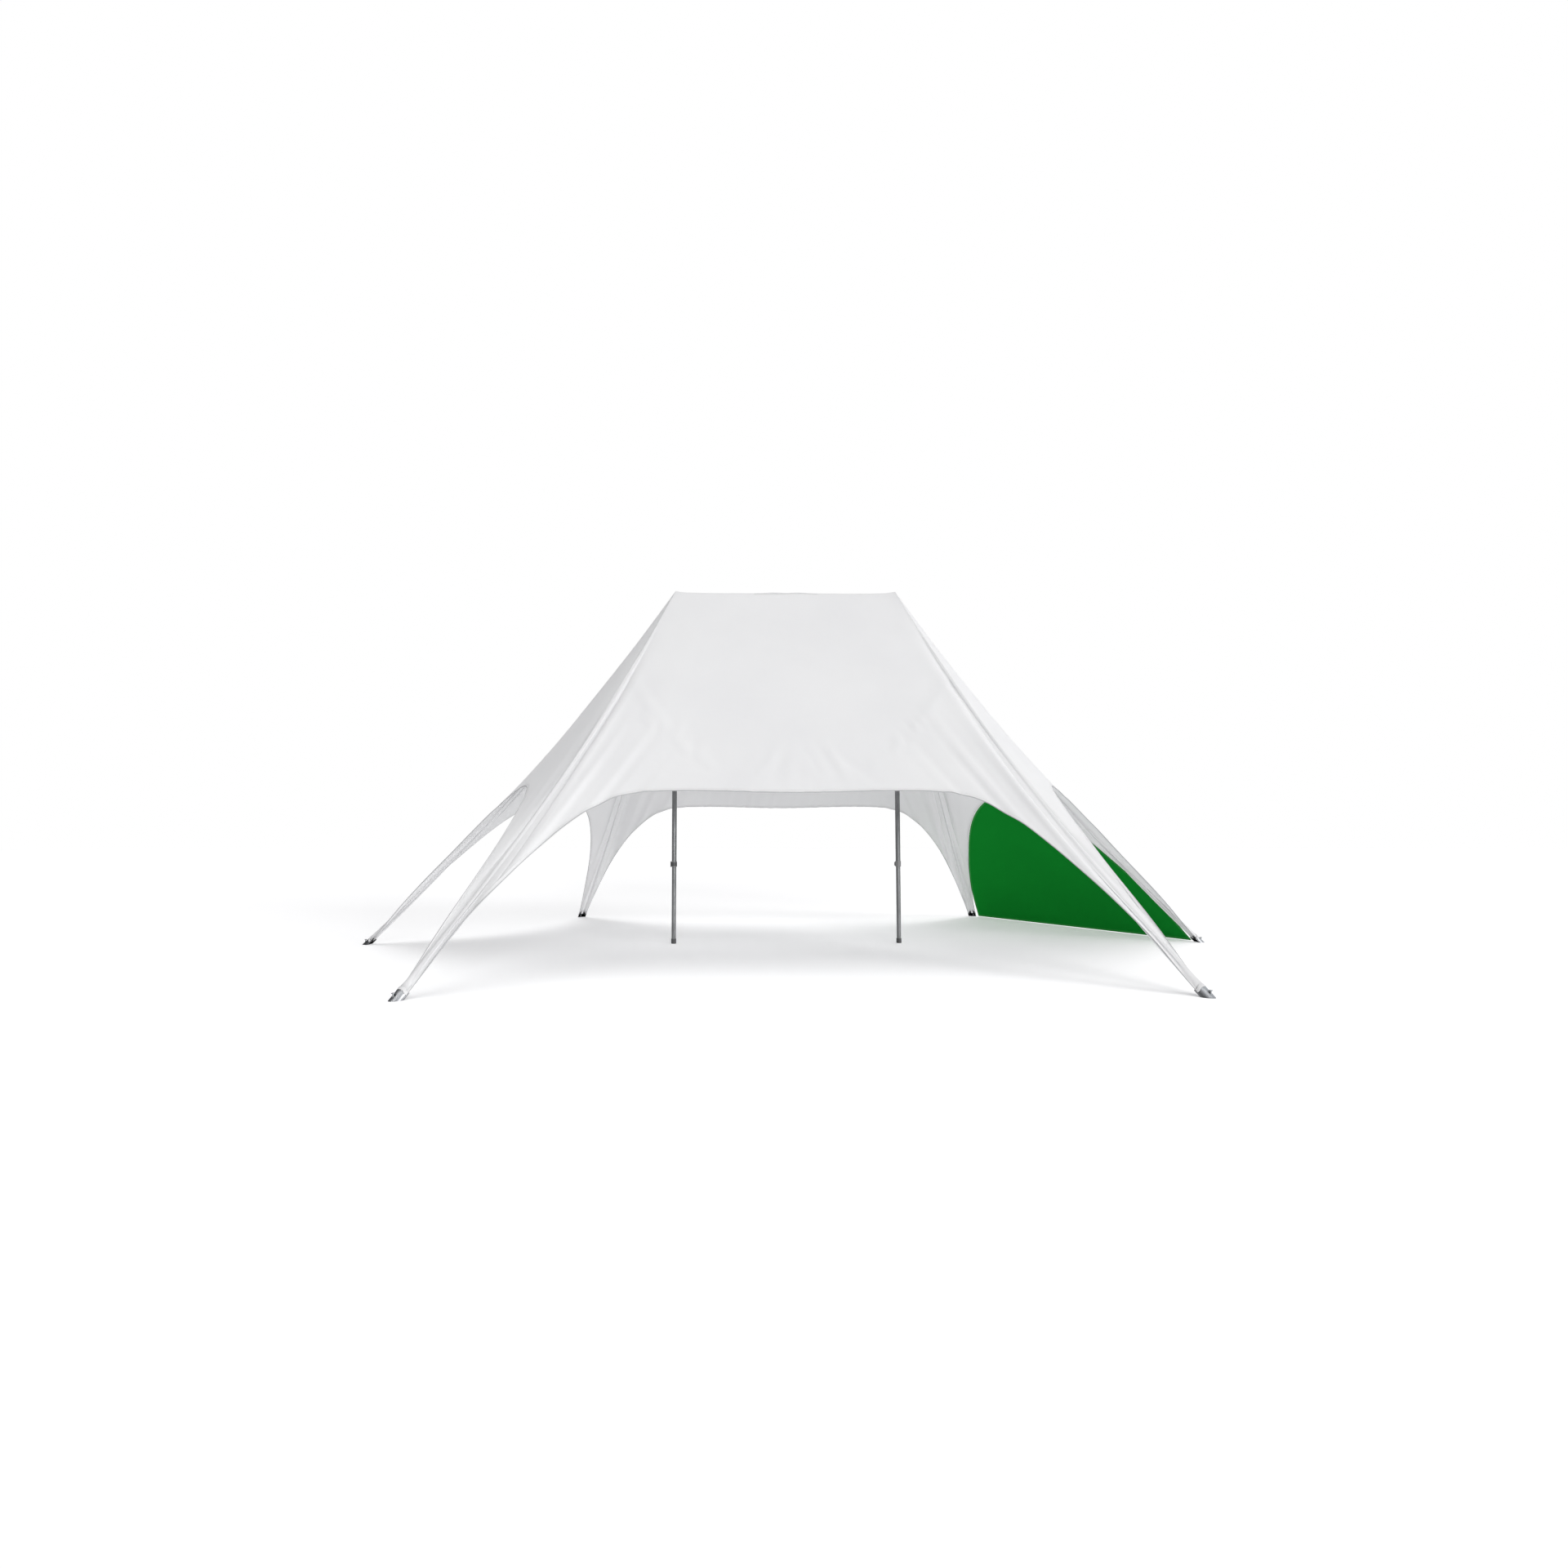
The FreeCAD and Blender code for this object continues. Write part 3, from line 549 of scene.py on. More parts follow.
def flat_chart(grid):
    """Cloth coordinates of a grid in metres: across and down the panel."""
    centre = grid[-1, grid.shape[1] // 2]
    normal = unit(normals_of(grid)[ROWS // 2, grid.shape[1] // 2])
    across = unit(np.cross(UP, normal))
    down = np.cross(across, normal)
    return np.stack([(grid - centre) @ across, (grid - centre) @ down], axis=-1)


def seam_places(grid):
    """For every point of a panel: how far it lies from the nearer leg's fold, and how far down that fold."""
    left, down_left = nearest_run(grid, grid[:, 0])
    right, down_right = nearest_run(grid, grid[:, -1])
    aside = np.minimum(left, right)
    down = np.where(left < right, down_left, down_right)
    return np.stack([down, aside, 0 * aside], axis=-1)


def add_chart(mesh, chart):
    """Give a mesh the cloth coordinates of its points."""
    corner_point = np.zeros(len(mesh.loops), dtype=np.int32)
    mesh.loops.foreach_get("vertex_index", corner_point)
    layer = mesh.uv_layers.new(name="cloth")
    layer.data.foreach_set("uv", chart[corner_point].ravel())


def add_run(mesh, places):
    """Give a mesh the places of its points along and across a row of sewing."""
    layer = mesh.attributes.new("run", "FLOAT_VECTOR", "POINT")
    layer.data.foreach_set("vector", places.ravel())


def merge_points(mesh):
    sheet = bmesh.new()
    sheet.from_mesh(mesh)
    bmesh.ops.remove_doubles(sheet, verts=sheet.verts, dist=MERGE_GAP)
    sheet.to_mesh(mesh)
    sheet.free()


def give_thickness(piece):
    thick = piece.modifiers.new("cloth_thickness", "SOLIDIFY")
    thick.thickness = CLOTH
    thick.offset = 0


def build_canopy(grids, material):
    """All panels as one sewn sheet with the thickness of the cloth."""
    points, faces, chart, seams = [], [], [], []
    for grid in grids.values():
        faces += grid_faces(grid.shape[0], grid.shape[1], len(points))
        points += list(grid.reshape(-1, 3))
        chart += list(flat_chart(grid).reshape(-1, 2))
        seams += list(seam_places(grid).reshape(-1, 3))
    mesh = bpy.data.meshes.new("canopy")
    mesh.from_pydata([tuple(p) for p in points], [], faces)
    add_chart(mesh, np.array(chart))
    add_run(mesh, np.array(seams))
    merge_points(mesh)
    smooth(mesh, CREASE_ANGLE)
    piece = new_object("canopy", mesh, "tent", material)
    give_thickness(piece)
    panels = ["front_panel", "back_panel"] + [name + "_panel" for name in SIDES]
    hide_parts(*panels, "left_peak_cap", "right_peak_cap")


def sweep(name, path, across, outward, section, body, material, width_of=None):
    """A closed section, given as (across, outward) points, carried along a path."""
    section = np.asarray(section)
    path = np.asarray(path)
    run = run_length(path)
    scale = np.ones(len(path)) if width_of is None else width_of
    rings = path[:, None] + section[None, :, :1] * across[:, None] * scale[:, None, None]
    rings = rings + section[None, :, 1:] * outward[:, None] * scale[:, None, None]
    count = len(section)
    faces = grid_faces(len(path), count, closed=True)
    faces.append(tuple(range(count)))
    faces.append(tuple(range((len(path) - 1) * count, len(path) * count))[::-1])
    mesh = bpy.data.meshes.new(name)
    mesh.from_pydata([tuple(p) for p in rings.reshape(-1, 3)], [], faces)
    place = np.zeros((len(path), count, 3))
    place[..., 0] = run[:, None]
    place[..., 1] = section[None, :, 0]
    add_run(mesh, place)
    shape = bmesh.new()
    shape.from_mesh(mesh)
    bmesh.ops.recalc_face_normals(shape, faces=shape.faces)
    shape.to_mesh(mesh)
    shape.free()
    smooth(mesh)
    return new_object(name, mesh, body, material)


def hem_section():
    """A double fold stitched flat, with the rope's bulge at the cloth's edge."""
    rope, rise = 0.0065, 0.0022
    flat_start, flat_end = 0.014, HEM_WIDTH - 0.002
    above = [(flat_end, rise * 0.8), (flat_start, rise)]
    below = [(flat_start, -rise), (flat_end, -rise * 0.8), (HEM_WIDTH, 0)]
    bulge = []
    for turn in np.radians(np.linspace(50, 310, 9)):
        bulge.append((0.002 + rope * math.cos(turn), rope * math.sin(turn)))
    return above + bulge + below


def build_hem(name, grid, material):
    """The hem of one arch, from cuff to cuff."""
    edge = grid[-1, CUFF_COLUMNS:-CUFF_COLUMNS]
    normal = normals_of(grid)[-1, CUFF_COLUMNS:-CUFF_COLUMNS]
    forward = tangents(edge)
    across = unit(np.cross(forward, normal))
    inside = grid[-2, CUFF_COLUMNS:-CUFF_COLUMNS] - edge
    across *= np.sign(np.sum(across * inside, axis=1))[:, None]
    normal = unit(np.cross(across, forward))
    run = run_length(edge)
    taper = 0.55 + 0.45 * ease(np.minimum(run, run[-1] - run), 0.0, 0.5)
    return sweep(name, edge, across, normal, hem_section(), "tent", material, taper)


# ---- shader helpers
class Shader:
    """A node material with one Principled surface and short calls for adding to it."""

    def __init__(self, name, roughness, metallic=0.0):
        self.material = bpy.data.materials.new(name)
        self.material.use_nodes = True
        self.tree = self.material.node_tree
        self.surface = self.tree.nodes["Principled BSDF"]
        self.surface.inputs["Roughness"].default_value = roughness
        self.surface.inputs["Metallic"].default_value = metallic

    def node(self, kind, inputs=None, **settings):
        made = self.tree.nodes.new("ShaderNode" + kind)
        for key, value in settings.items():
            setattr(made, key, value)
        for key, value in (inputs or {}).items():
            if isinstance(value, bpy.types.NodeSocket):
                self.tree.links.new(value, made.inputs[key])
            else:
                made.inputs[key].default_value = value
        return made

    def link(self, output, key):
        self.tree.links.new(output, self.surface.inputs[key])

    def run(self):
        """Places along (x) and across (y) a row of sewing."""
        return self.node("Attribute", attribute_name="run", attribute_type="GEOMETRY").outputs["Vector"]

    def place(self, scale=(1, 1, 1), kind="Object"):
        """Coordinates in metres, stretched by scale."""
        source = self.node("TexCoord").outputs[kind]
        return self.node("Mapping", {"Vector": source, "Scale": scale}).outputs["Vector"]

    def noise(self, scale, where=None, detail=3.0, roughness=0.5, low=0.35, high=0.65):
        """Smooth noise from 0 to 1."""
        inputs = {"Scale": scale, "Detail": detail, "Roughness": roughness}
        if where is not None:
            inputs["Vector"] = where
        texture = self.node("TexNoise", inputs)
        return self.spread(texture.outputs["Fac"], low, high)

    def spread(self, value, low, high, to_low=0.0, to_high=1.0):
        inputs = {"Value": value, "From Min": low, "From Max": high, "To Min": to_low, "To Max": to_high}
        return self.node("MapRange", inputs).outputs["Result"]

    def mix(self, share, first, second):
        made = self.node("Mix", data_type="RGBA")
        colours = [socket for socket in made.inputs if socket.type == "RGBA"]
        for socket, value in zip(colours, (first, second)):
            if isinstance(value, bpy.types.NodeSocket):
                self.tree.links.new(value, socket)
            else:
                socket.default_value = (*value, 1.0)
        if isinstance(share, bpy.types.NodeSocket):
            self.tree.links.new(share, made.inputs["Factor"])
        else:
            made.inputs["Factor"].default_value = share
        return next(socket for socket in made.outputs if socket.type == "RGBA")

    def maths(self, operation, first, second=0.0):
        return self.node("Math", {0: first, 1: second}, operation=operation).outputs["Value"]

    def bump(self, height, strength, distance, under=None):
        inputs = {"Height": height, "Strength": strength, "Distance": distance}
        if under is not None:
            inputs["Normal"] = under
        return self.node("Bump", inputs).outputs["Normal"]


def bands(shader, where, pitch, direction):
    """Soft stripes a pitch apart, from 0 to 1."""
    scale = math.pi / 10 / pitch              # the texture has 20 / (2 pi) stripes per metre at scale 1
    return shader.node("TexWave", {"Vector": where, "Scale": scale}, bands_direction=direction).outputs["Fac"]


def weave(shader, where, pitch):
    """Plain weave: over and under threads both ways, from 0 to 1."""
    across, along = bands(shader, where, pitch, "X"), bands(shader, where, pitch, "Y")
    return shader.maths("MULTIPLY", across, along)


def stitch_rows(shader, run, rows):
    """1 on the stitches of sewn rows, which follow "run": x along the row and y across it."""
    parts = shader.node("SeparateXYZ", {"Vector": run})
    along, across = parts.outputs["X"], parts.outputs["Y"]
    step = shader.maths("FRACT", shader.maths("DIVIDE", along, STITCH))
    from_middle = shader.maths("ABSOLUTE", shader.maths("SUBTRACT", step, 0.5))
    dash = shader.maths("LESS_THAN", from_middle, STITCH_SHARE)
    stitches = 0.0
    for row in rows:
        off = shader.maths("ABSOLUTE", shader.maths("SUBTRACT", across, row))
        stitches = shader.maths("ADD", shader.maths("LESS_THAN", off, THREAD), stitches)
    return shader.maths("MULTIPLY", stitches, dash), across


def darker(colour, share):
    return tuple(part * share for part in colour)


def let_light_through(shader, share, tint, normal):
    """Some of the light that falls on the far side of the cloth glows through."""
    glow = shader.node("BsdfTranslucent", {"Color": tint, "Normal": normal})
    both = shader.node("MixShader", {"Fac": share})
    shader.tree.links.new(shader.surface.outputs[0], both.inputs[1])
    shader.tree.links.new(glow.outputs[0], both.inputs[2])
    shader.tree.links.new(both.outputs[0], shader.tree.nodes["Material Output"].inputs["Surface"])


def cloth_material(name, colour, shade, see_through, sheen, seamed):
    """Coated polyester: fine weave, faint clouding, dust near the ground and some light passing through."""
    shader = Shader(name, 0.66)
    cloud = shader.noise(0.9, shader.place(), detail=4)
    fine = shader.noise(260, shader.place(), detail=2)
    tint = shader.mix(cloud, shade, colour)
    tint = shader.mix(shader.maths("MULTIPLY", fine, 0.10), tint, shade)
    height = shader.node("SeparateXYZ", {"Vector": shader.place()}).outputs["Z"]
    low = shader.spread(height, 0.05, 0.75, 0.16, 0.0)
    dusty = shader.maths("MULTIPLY", low, shader.noise(9, shader.place()))
    tint = shader.mix(dusty, tint, darker(shade, 0.72))
    normal = shader.bump(shader.noise(7, shader.place(), detail=4), 0.18, 0.004)
    normal = shader.bump(weave(shader, shader.place(kind="UV"), CANOPY_PITCH), 0.12, 0.0006, normal)
    if seamed:
        stitches, across = stitch_rows(shader, shader.run(), SEAM_STITCHES)
        tint = shader.mix(shader.maths("MULTIPLY", stitches, 0.5), tint, darker(shade, 0.88))
        flat = shader.spread(across, SEAM_WIDTH, SEAM_WIDTH + 0.001, 1.0, 0.0)
        normal = shader.bump(flat, 0.3, 0.0006, normal)
        normal = shader.bump(stitches, 0.4, 0.0006, normal)
    shader.link(tint, "Base Color")
    shader.link(normal, "Normal")
    shader.link(shader.spread(fine, 0, 1, 0.58, 0.72), "Roughness")
    shader.surface.inputs["Sheen Weight"].default_value = sheen
    shader.surface.inputs["Specular IOR Level"].default_value = sheen
    if see_through:
        let_light_through(shader, see_through, tint, normal)
    return shader.material


def stitched_material(name, colour, thread, rows, rim=None, see_through=0.0):
    """Sewn cloth with rows of stitches at set distances across it; rim is the colour of a painted shade along
    its very edge.
    """
    shader = Shader(name, 0.6)
    run = shader.run()
    stitches, across = stitch_rows(shader, run, rows)
    cloud = shader.noise(6, shader.place(), detail=4)
    tint = shader.mix(cloud, darker(colour, 0.95), colour)
    if rim:
        # painted shade: a dark band along the hem's very edge, standing in for the shadow of the rope's bulge
        tint = shader.mix(shader.spread(across, HEM_EDGE_SHADE_END, HEM_EDGE_SHADE_END + 0.003), rim, tint)
    tint = shader.mix(stitches, tint, thread)
    shader.link(tint, "Base Color")
    normal = shader.bump(shader.noise(38, shader.place(), detail=3), 0.25, 0.0012)
    normal = shader.bump(weave(shader, run, HEM_PITCH), 0.2, 0.0005, normal)
    normal = shader.bump(stitches, 0.5, 0.0010, normal)
    shader.link(normal, "Normal")
    shader.link(shader.spread(cloud, 0, 1, 0.5, 0.68), "Roughness")
    shader.surface.inputs["Specular IOR Level"].default_value = 0.2
    if see_through:
        let_light_through(shader, see_through, tint, normal)
    return shader.material


def webbing_material(name, colour):
    """Woven strap with ribs along its length and softly worn edges."""
    shader = Shader(name, 0.6)
    run = shader.run()
    aside = shader.maths("ABSOLUTE", shader.node("SeparateXYZ", {"Vector": run}).outputs["Y"])
    ribs = bands(shader, run, RIB_PITCH, "Y")
    worn = shader.spread(aside, BELT_WIDTH * 0.42, BELT_WIDTH * 0.5)
    tint = shader.mix(shader.noise(14, shader.place(), detail=4), darker(colour, 0.95), colour)
    tint = shader.mix(worn, tint, darker(colour, 0.9))
    shader.link(tint, "Base Color")
    shader.link(shader.bump(ribs, 0.3, 0.0006), "Normal")
    shader.link(shader.spread(ribs, 0, 1, 0.62, 0.74), "Roughness")
    shader.surface.inputs["Specular IOR Level"].default_value = 0.2
    return shader.material


def metal_material(name, colour, roughness, grain, direction, hollow_shade=0.0):
    """Metal with a drawn or brushed grain, faint scratches, duller patches and painted shade in its hollows.
    """
    shader = Shader(name, roughness, 1.0)
    stretched = shader.place(direction)
    brushed = shader.noise(grain, stretched, detail=5, low=0.3, high=0.7)
    patches = shader.noise(5, shader.place(), detail=5)
    tint = shader.mix(patches, darker(colour, 0.80), colour)
    tint = shader.mix(shader.maths("MULTIPLY", brushed, METAL_WEAR), tint, darker(colour, 0.62))
    if hollow_shade:
        # painted shade: the colour turns dark where ambient occlusion finds a hollow, as inside the foot
        # shells lying on the floor
        open_air = shader.node("AmbientOcclusion", {"Distance": HOLLOW_SHADE_REACH}, samples=8).outputs["AO"]
        tint = shader.mix(shader.spread(open_air, 0.25, 0.85, hollow_shade, 0.0), tint, HOLLOW_SHADE_COLOUR)
    shader.link(tint, "Base Color")
    rough = shader.spread(brushed, 0, 1, roughness - 0.07, roughness + 0.09)
    shader.link(shader.maths("ADD", rough, shader.maths("MULTIPLY", patches, 0.06)), "Roughness")
    normal = shader.bump(brushed, 0.14, 0.0005)
    normal = shader.bump(shader.noise(70, shader.place(), detail=2), 0.05, 0.001, normal)
    shader.link(normal, "Normal")
    return shader.material


def moulded_material(name, colour, roughness, grain):
    """Moulded plastic or rubber with a fine grain and lighter scuffs."""
    shader = Shader(name, roughness)
    speckle = shader.noise(grain, shader.place(), detail=2)
    scuff = shader.noise(34, shader.place((1, 1, 0.4)), detail=6, low=0.55, high=0.72)
    tint = shader.mix(speckle, colour, tuple(min(1.0, c * 1.35 + 0.004) for c in colour))
    tint = shader.mix(shader.maths("MULTIPLY", scuff, 0.35), tint, tuple(c * 0.5 + 0.12 for c in colour))
    shader.link(tint, "Base Color")
    shader.link(shader.spread(scuff, 0, 1, roughness, min(1.0, roughness + 0.2)), "Roughness")
    shader.link(shader.bump(speckle, 0.3, 0.0006), "Normal")
    return shader.material


WHITE = (0.86, 0.86, 0.865)
WHITE_SHADE = (0.84, 0.84, 0.848)
HEM_WHITE = (0.84, 0.84, 0.845)
# painted shade along the hem's edge, for the shadow of its rope, and how far it reaches
HEM_EDGE_SHADE = (0.50, 0.50, 0.51)
HEM_EDGE_SHADE_END = 0.004  # how far the darker edge of a hem reaches
HEM_THREAD = (0.76, 0.76, 0.77)
GREEN = (0.0056, 0.201, 0.0212)
GREEN_SHADE = (0.0053, 0.192, 0.0203)
GREEN_HEM = (0.006, 0.208, 0.022)
GREEN_THREAD = (0.02, 0.26, 0.045)
# colour and reach of the painted shade in the hollows of the foot shells
HOLLOW_SHADE_COLOUR = (0.006, 0.006, 0.006)
HOLLOW_SHADE_REACH = 0.12
METAL_WEAR = 0.4
CANOPY_PITCH = 0.0035  # from one thread of the weave to the next
HEM_PITCH = 0.0026
RIB_PITCH = 0.006


def make_materials():
    return {
        "canopy": cloth_material("canopy_cloth", WHITE, WHITE_SHADE, 0.30, 0.15, True),
        "wall": cloth_material("wall_cloth", GREEN, GREEN_SHADE, 0.0, 0.0, False),
        "hem": stitched_material("canopy_hem", HEM_WHITE, HEM_THREAD, HEM_STITCHES, HEM_EDGE_SHADE, 0.2),
        "cuff": stitched_material("leg_cuff", HEM_WHITE, HEM_THREAD, CUFF_STITCHES, None, 0.2),
        "wall_hem": stitched_material("wall_hem", GREEN_HEM, GREEN_THREAD, HEM_STITCHES),
        "zip": stitched_material("zip_tape", (0.007, 0.22, 0.025), (0.1, 0.2, 0.1), (0.0,)),
        "webbing": webbing_material("webbing", (0.84, 0.84, 0.85)),
        "shell": metal_material("foot_steel", (0.40, 0.405, 0.415), 0.30, 60, (1, 1, 14), hollow_shade=1.0),
        "plate": metal_material("plate_steel", (0.22, 0.23, 0.24), 0.42, 50, (6, 6, 1)),
        "peg": metal_material("peg_steel", (0.36, 0.37, 0.38), 0.38, 60, (1, 1, 0.2)),
        "pole": metal_material("pole_aluminium", (0.215, 0.218, 0.222), 0.30, 90, (1, 1, 0.04)),
        "collar": moulded_material("collar_plastic", (0.15, 0.15, 0.152), 0.45, 900),
        "lever": moulded_material("lever_plastic", (0.035, 0.035, 0.037), 0.45, 900),
        "rubber": moulded_material("ferrule_rubber", (0.045, 0.045, 0.047), 0.62, 700),
        "head": moulded_material("head_plastic", (0.05, 0.05, 0.055), 0.4, 900),
    }


NODE_LOOKS = {
    "foot_shell": "shell",
    "foot_plate": "plate",
    "foot_bars": "plate",
    "peg": "peg",
    "lower_tube": "pole",
    "middle_tube": "pole",
    "upper_tube": "pole",
    "spigot": "pole",
    "collar": "collar",
    "lever": "lever",
    "lever_pin": "plate",
    "ferrule": "rubber",
    "pole_head": "head",
}


def dress_nodes(looks):
    """Give every CAD node that stays its own surface."""
    for name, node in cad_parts.items():
        for ending, look in NODE_LOOKS.items():
            if name.endswith(ending):
                node.data.materials.clear()
                node.data.materials.append(looks[look])
                smooth(node.data)


# ---- cuffs and belts
def build_cuff_band(leg, material):
    """The stitched band round the lower edge of a leg's cuff."""
    pole_x, angle = LEGS[leg]
    turns = np.linspace(-CUFF_TURN, CUFF_TURN, 33)
    edge = placed([cuff_edge(turn) for turn in turns], pole_x, angle)
    outward = spun([round_foot(turn) for turn in turns], angle)
    across = spun(np.repeat(FOOT_AXIS[None], len(turns), axis=0), angle)
    lower = [(-0.002, -0.0014), (-0.003, 0.0008), (-0.001, 0.0030)]
    upper = [(0.030, 0.0026), (0.032, 0.0012), (0.030, -0.0013)]
    sweep(leg + "_cuff", edge, across, outward, lower + upper, "tent", material)


def strap_section(width, thickness):
    """A flat strap with rounded edges."""
    rounding = thickness / 2
    straight = width / 2 - rounding
    turns = np.linspace(-1.57, 1.57, 5)
    right = [(straight + rounding * math.cos(turn), rounding * math.sin(turn)) for turn in turns]
    return right + [(-x, -y) for x, y in right]


def flat_across(line):
    return np.repeat(np.array([[0.0, 1.0, 0.0]]), len(line), axis=0)


LEG_NEIGHBOURS = {
    "front_left": ("left_front", "front"),
    "mid_left": ("left_back", "left_front"),
    "back_left": ("back", "left_back"),
    "front_right": ("front", "right_front"),
    "mid_right": ("right_front", "right_back"),
    "back_right": ("right_back", "back"),
}


def belt_depths(leg, grids):
    """How deep the webbing lies under each row of a leg's fold, so that the cloth clears both its edges."""
    before, after = LEG_NEIGHBOURS[leg]
    left, right = normals_of(grids[before])[:, -2], normals_of(grids[after])[:, 1]
    lean = np.clip(np.sum(left * unit(left + right), axis=1), 0.5, 1.0)
    depth = BELT_WIDTH / 2 * np.tan(np.arccos(lean)) + BELT_CLEARANCE
    smoothed = np.convolve(np.pad(depth, 3, mode="edge"), np.ones(7) / 7, mode="valid")
    return np.maximum(smoothed, BELT_DEPTH)


def build_leg_belt(leg, grids, material):
    """The webbing under a leg's fold, looped round the bar in its foot."""
    pole_x, angle = LEGS[leg]
    top = APEX + np.array([BELT_START, 0.0, -BELT_START * 1.40])
    end = crown(FOOT_BAR_PLACE + 0.012)
    share = np.linspace(0, 1, 70)
    depth = np.interp(share, np.linspace(0, 1, ROWS + 1), belt_depths(leg, grids))
    depth = BELT_DEPTH + (depth - BELT_DEPTH) * (1 - ease(share, 0.93, 1.0))
    line = sagging(top, end, LEG_SAG, share) - FOOT_OUTWARD * depth[:, None]
    bar = crown(FOOT_BAR_PLACE, FOOT_BAR_DEPTH)
    loop = []
    for turn in np.linspace(0, 3.0, 9):
        loop.append(bar + BELT_LOOP * (FOOT_OUTWARD * math.cos(turn) - FOOT_AXIS * math.sin(turn)))
    back = [loop[-1] + FOOT_AXIS * step for step in (0.02, 0.045, 0.07)]
    line = np.vstack([line, loop, back])
    across = flat_across(line)
    outward = spun(unit(np.cross(across, tangents(line))), angle)
    section = strap_section(BELT_WIDTH, CLOTH)
    path = placed(line, pole_x, angle)
    piece = sweep(leg + "_webbing", path, spun(across, angle), outward, section, "tent", material)
    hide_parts(leg + "_belt")


def build_ridge_belt(material):
    """The webbing under the ridge, from peak to peak."""
    low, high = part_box("ridge_belt")
    x = np.linspace(low.x, high.x, 41)
    centre = (low.z + high.z) / 2
    line = np.stack([x, 0 * x, centre - 0.004 * np.cos(math.pi * x / (high.x - low.x))], axis=1)
    across = flat_across(line)
    outward = unit(np.cross(tangents(line), across))
    section = strap_section(BELT_WIDTH, CLOTH)
    piece = sweep("ridge_webbing", line, across, outward, section, "tent", material)
    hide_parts("ridge_belt")


# ---- side wall
def wall_outline(gap, count):
    """The curve that keeps a gap to the side arch, in the arch's plane, down to the wall's two corners."""
    slope, height = SIDE_PLANE
    whole = plane_points(SIDE_ARCH, SIDE_PLANE)
    fine = smooth_curve(whole, *end_directions(whole), 400)
    forward = tangents(fine)
    inner = []
    for point in whole:
        nearest = int(np.argmin(np.linalg.norm(fine - point, axis=1)))
        inner.append(point - unit(np.cross(WALL_OUTWARD, forward[nearest])) * gap)
    foot_x = (height * PEAK - WALL_FOOT) / slope
    corner = np.array([foot_x, WALL_CORNER + WALL_GAP - gap, WALL_FOOT])
    through = np.vstack([corner * MIRROR, inner, corner])
    return smooth_curve(through, *end_directions(through), count)


def end_directions(points):
    return unit(points[1] - points[0]), unit(points[-1] - points[-2])


WALL_SIDE = SIDES["right_back"]
WALL_OUTWARD = unit(np.array([SIDE_PLANE[0], 0.0, 1.0]))
WALL_UPWARD = unit(np.array([-1.0, 0.0, SIDE_PLANE[0]]))


def wall_facing(path):
    """The wall's outward direction at every point of a path."""
    return np.repeat(spun(WALL_OUTWARD, WALL_SIDE[1])[None], len(path), axis=0)


def build_wall_cloth(edge, material):
    """The hanging sheet: it billows outwards a little and waves across."""
    share = np.linspace(0, 1, WALL_COLUMNS + 1)
    bottom = edge[0] + (edge[-1] - edge[0]) * share[:, None]
    t = np.linspace(0, 1, WALL_ROWS + 1)[:, None, None]
    grid = edge[None] * (1 - t) + bottom[None] * t
    inside = 4 * share * (1 - share) * np.sin(math.pi * t[..., 0])
    waves = 0.0025 * np.sin(share * 23 + 1.0) + 0.0015 * np.sin(share * 57)
    grid = grid + WALL_OUTWARD * ((WALL_BILLOW + waves) * inside)[..., None]
    points = placed(grid.reshape(-1, 3), *WALL_SIDE)
    mesh = bpy.data.meshes.new("wall_cloth")
    mesh.from_pydata([tuple(p) for p in points], [], grid_faces(WALL_ROWS + 1, WALL_COLUMNS + 1))
    add_chart(mesh, np.stack([grid[..., 1], grid[..., 2] / WALL_OUTWARD[0]], axis=-1).reshape(-1, 2))
    merge_points(mesh)
    smooth(mesh)
    piece = new_object("wall_cloth", mesh, "wall", material)
    give_thickness(piece)
    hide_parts("side_wall")


def build_wall_tape(edge, material):
    """The tape sewn along the wall's curved edge."""
    path = placed(edge, *WALL_SIDE)
    facing = wall_facing(path)
    across = unit(np.cross(facing, tangents(path)))
    middle = len(path) // 2
    across *= np.sign((path.mean(axis=0) - path[middle]) @ across[middle])
    band = [(0.0, -0.0022), (0.0, 0.0022), (0.028, 0.0022), (0.030, 0.0), (0.028, -0.0022)]
    sweep("wall_edge_tape", path, across, facing, band, "wall", material)


def build_wall_hem(edge, material):
    """The straight hem at the wall's foot, with its rope."""
    path = placed(resampled(np.vstack([edge[0], edge[-1]]), 60), *WALL_SIDE)
    across = np.repeat(spun(WALL_UPWARD, WALL_SIDE[1])[None], len(path), axis=0)
    section = hem_section()
    hem = sweep("wall_bottom_hem", path, across, wall_facing(path), section, "wall", material)
    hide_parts("side_wall_rope")


def build_wall_zip(material):
    """The zip's coil between the wall and the canopy's hem."""
    path = placed(wall_outline(WALL_ZIP_GAP, 240), *WALL_SIDE)
    facing = wall_facing(path)
    across = unit(np.cross(facing, tangents(path)))
    turns = np.linspace(0, 2 * math.pi, 8, endpoint=False)
    coil = [(0.0030 * math.cos(turn), 0.0024 * math.sin(turn)) for turn in turns]
    chain = sweep("wall_zip", path, across, facing, coil, "wall", material)
    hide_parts("side_wall_zip")


def build_wall(looks):
    """The green side wall: a hanging sheet with a taped edge, a bottom hem and a zip."""
    edge = wall_outline(WALL_GAP, WALL_COLUMNS + 1)
    build_wall_cloth(edge, looks["wall"])
    build_wall_tape(edge, looks["wall_hem"])
    build_wall_hem(edge, looks["wall_hem"])
    build_wall_zip(looks["zip"])


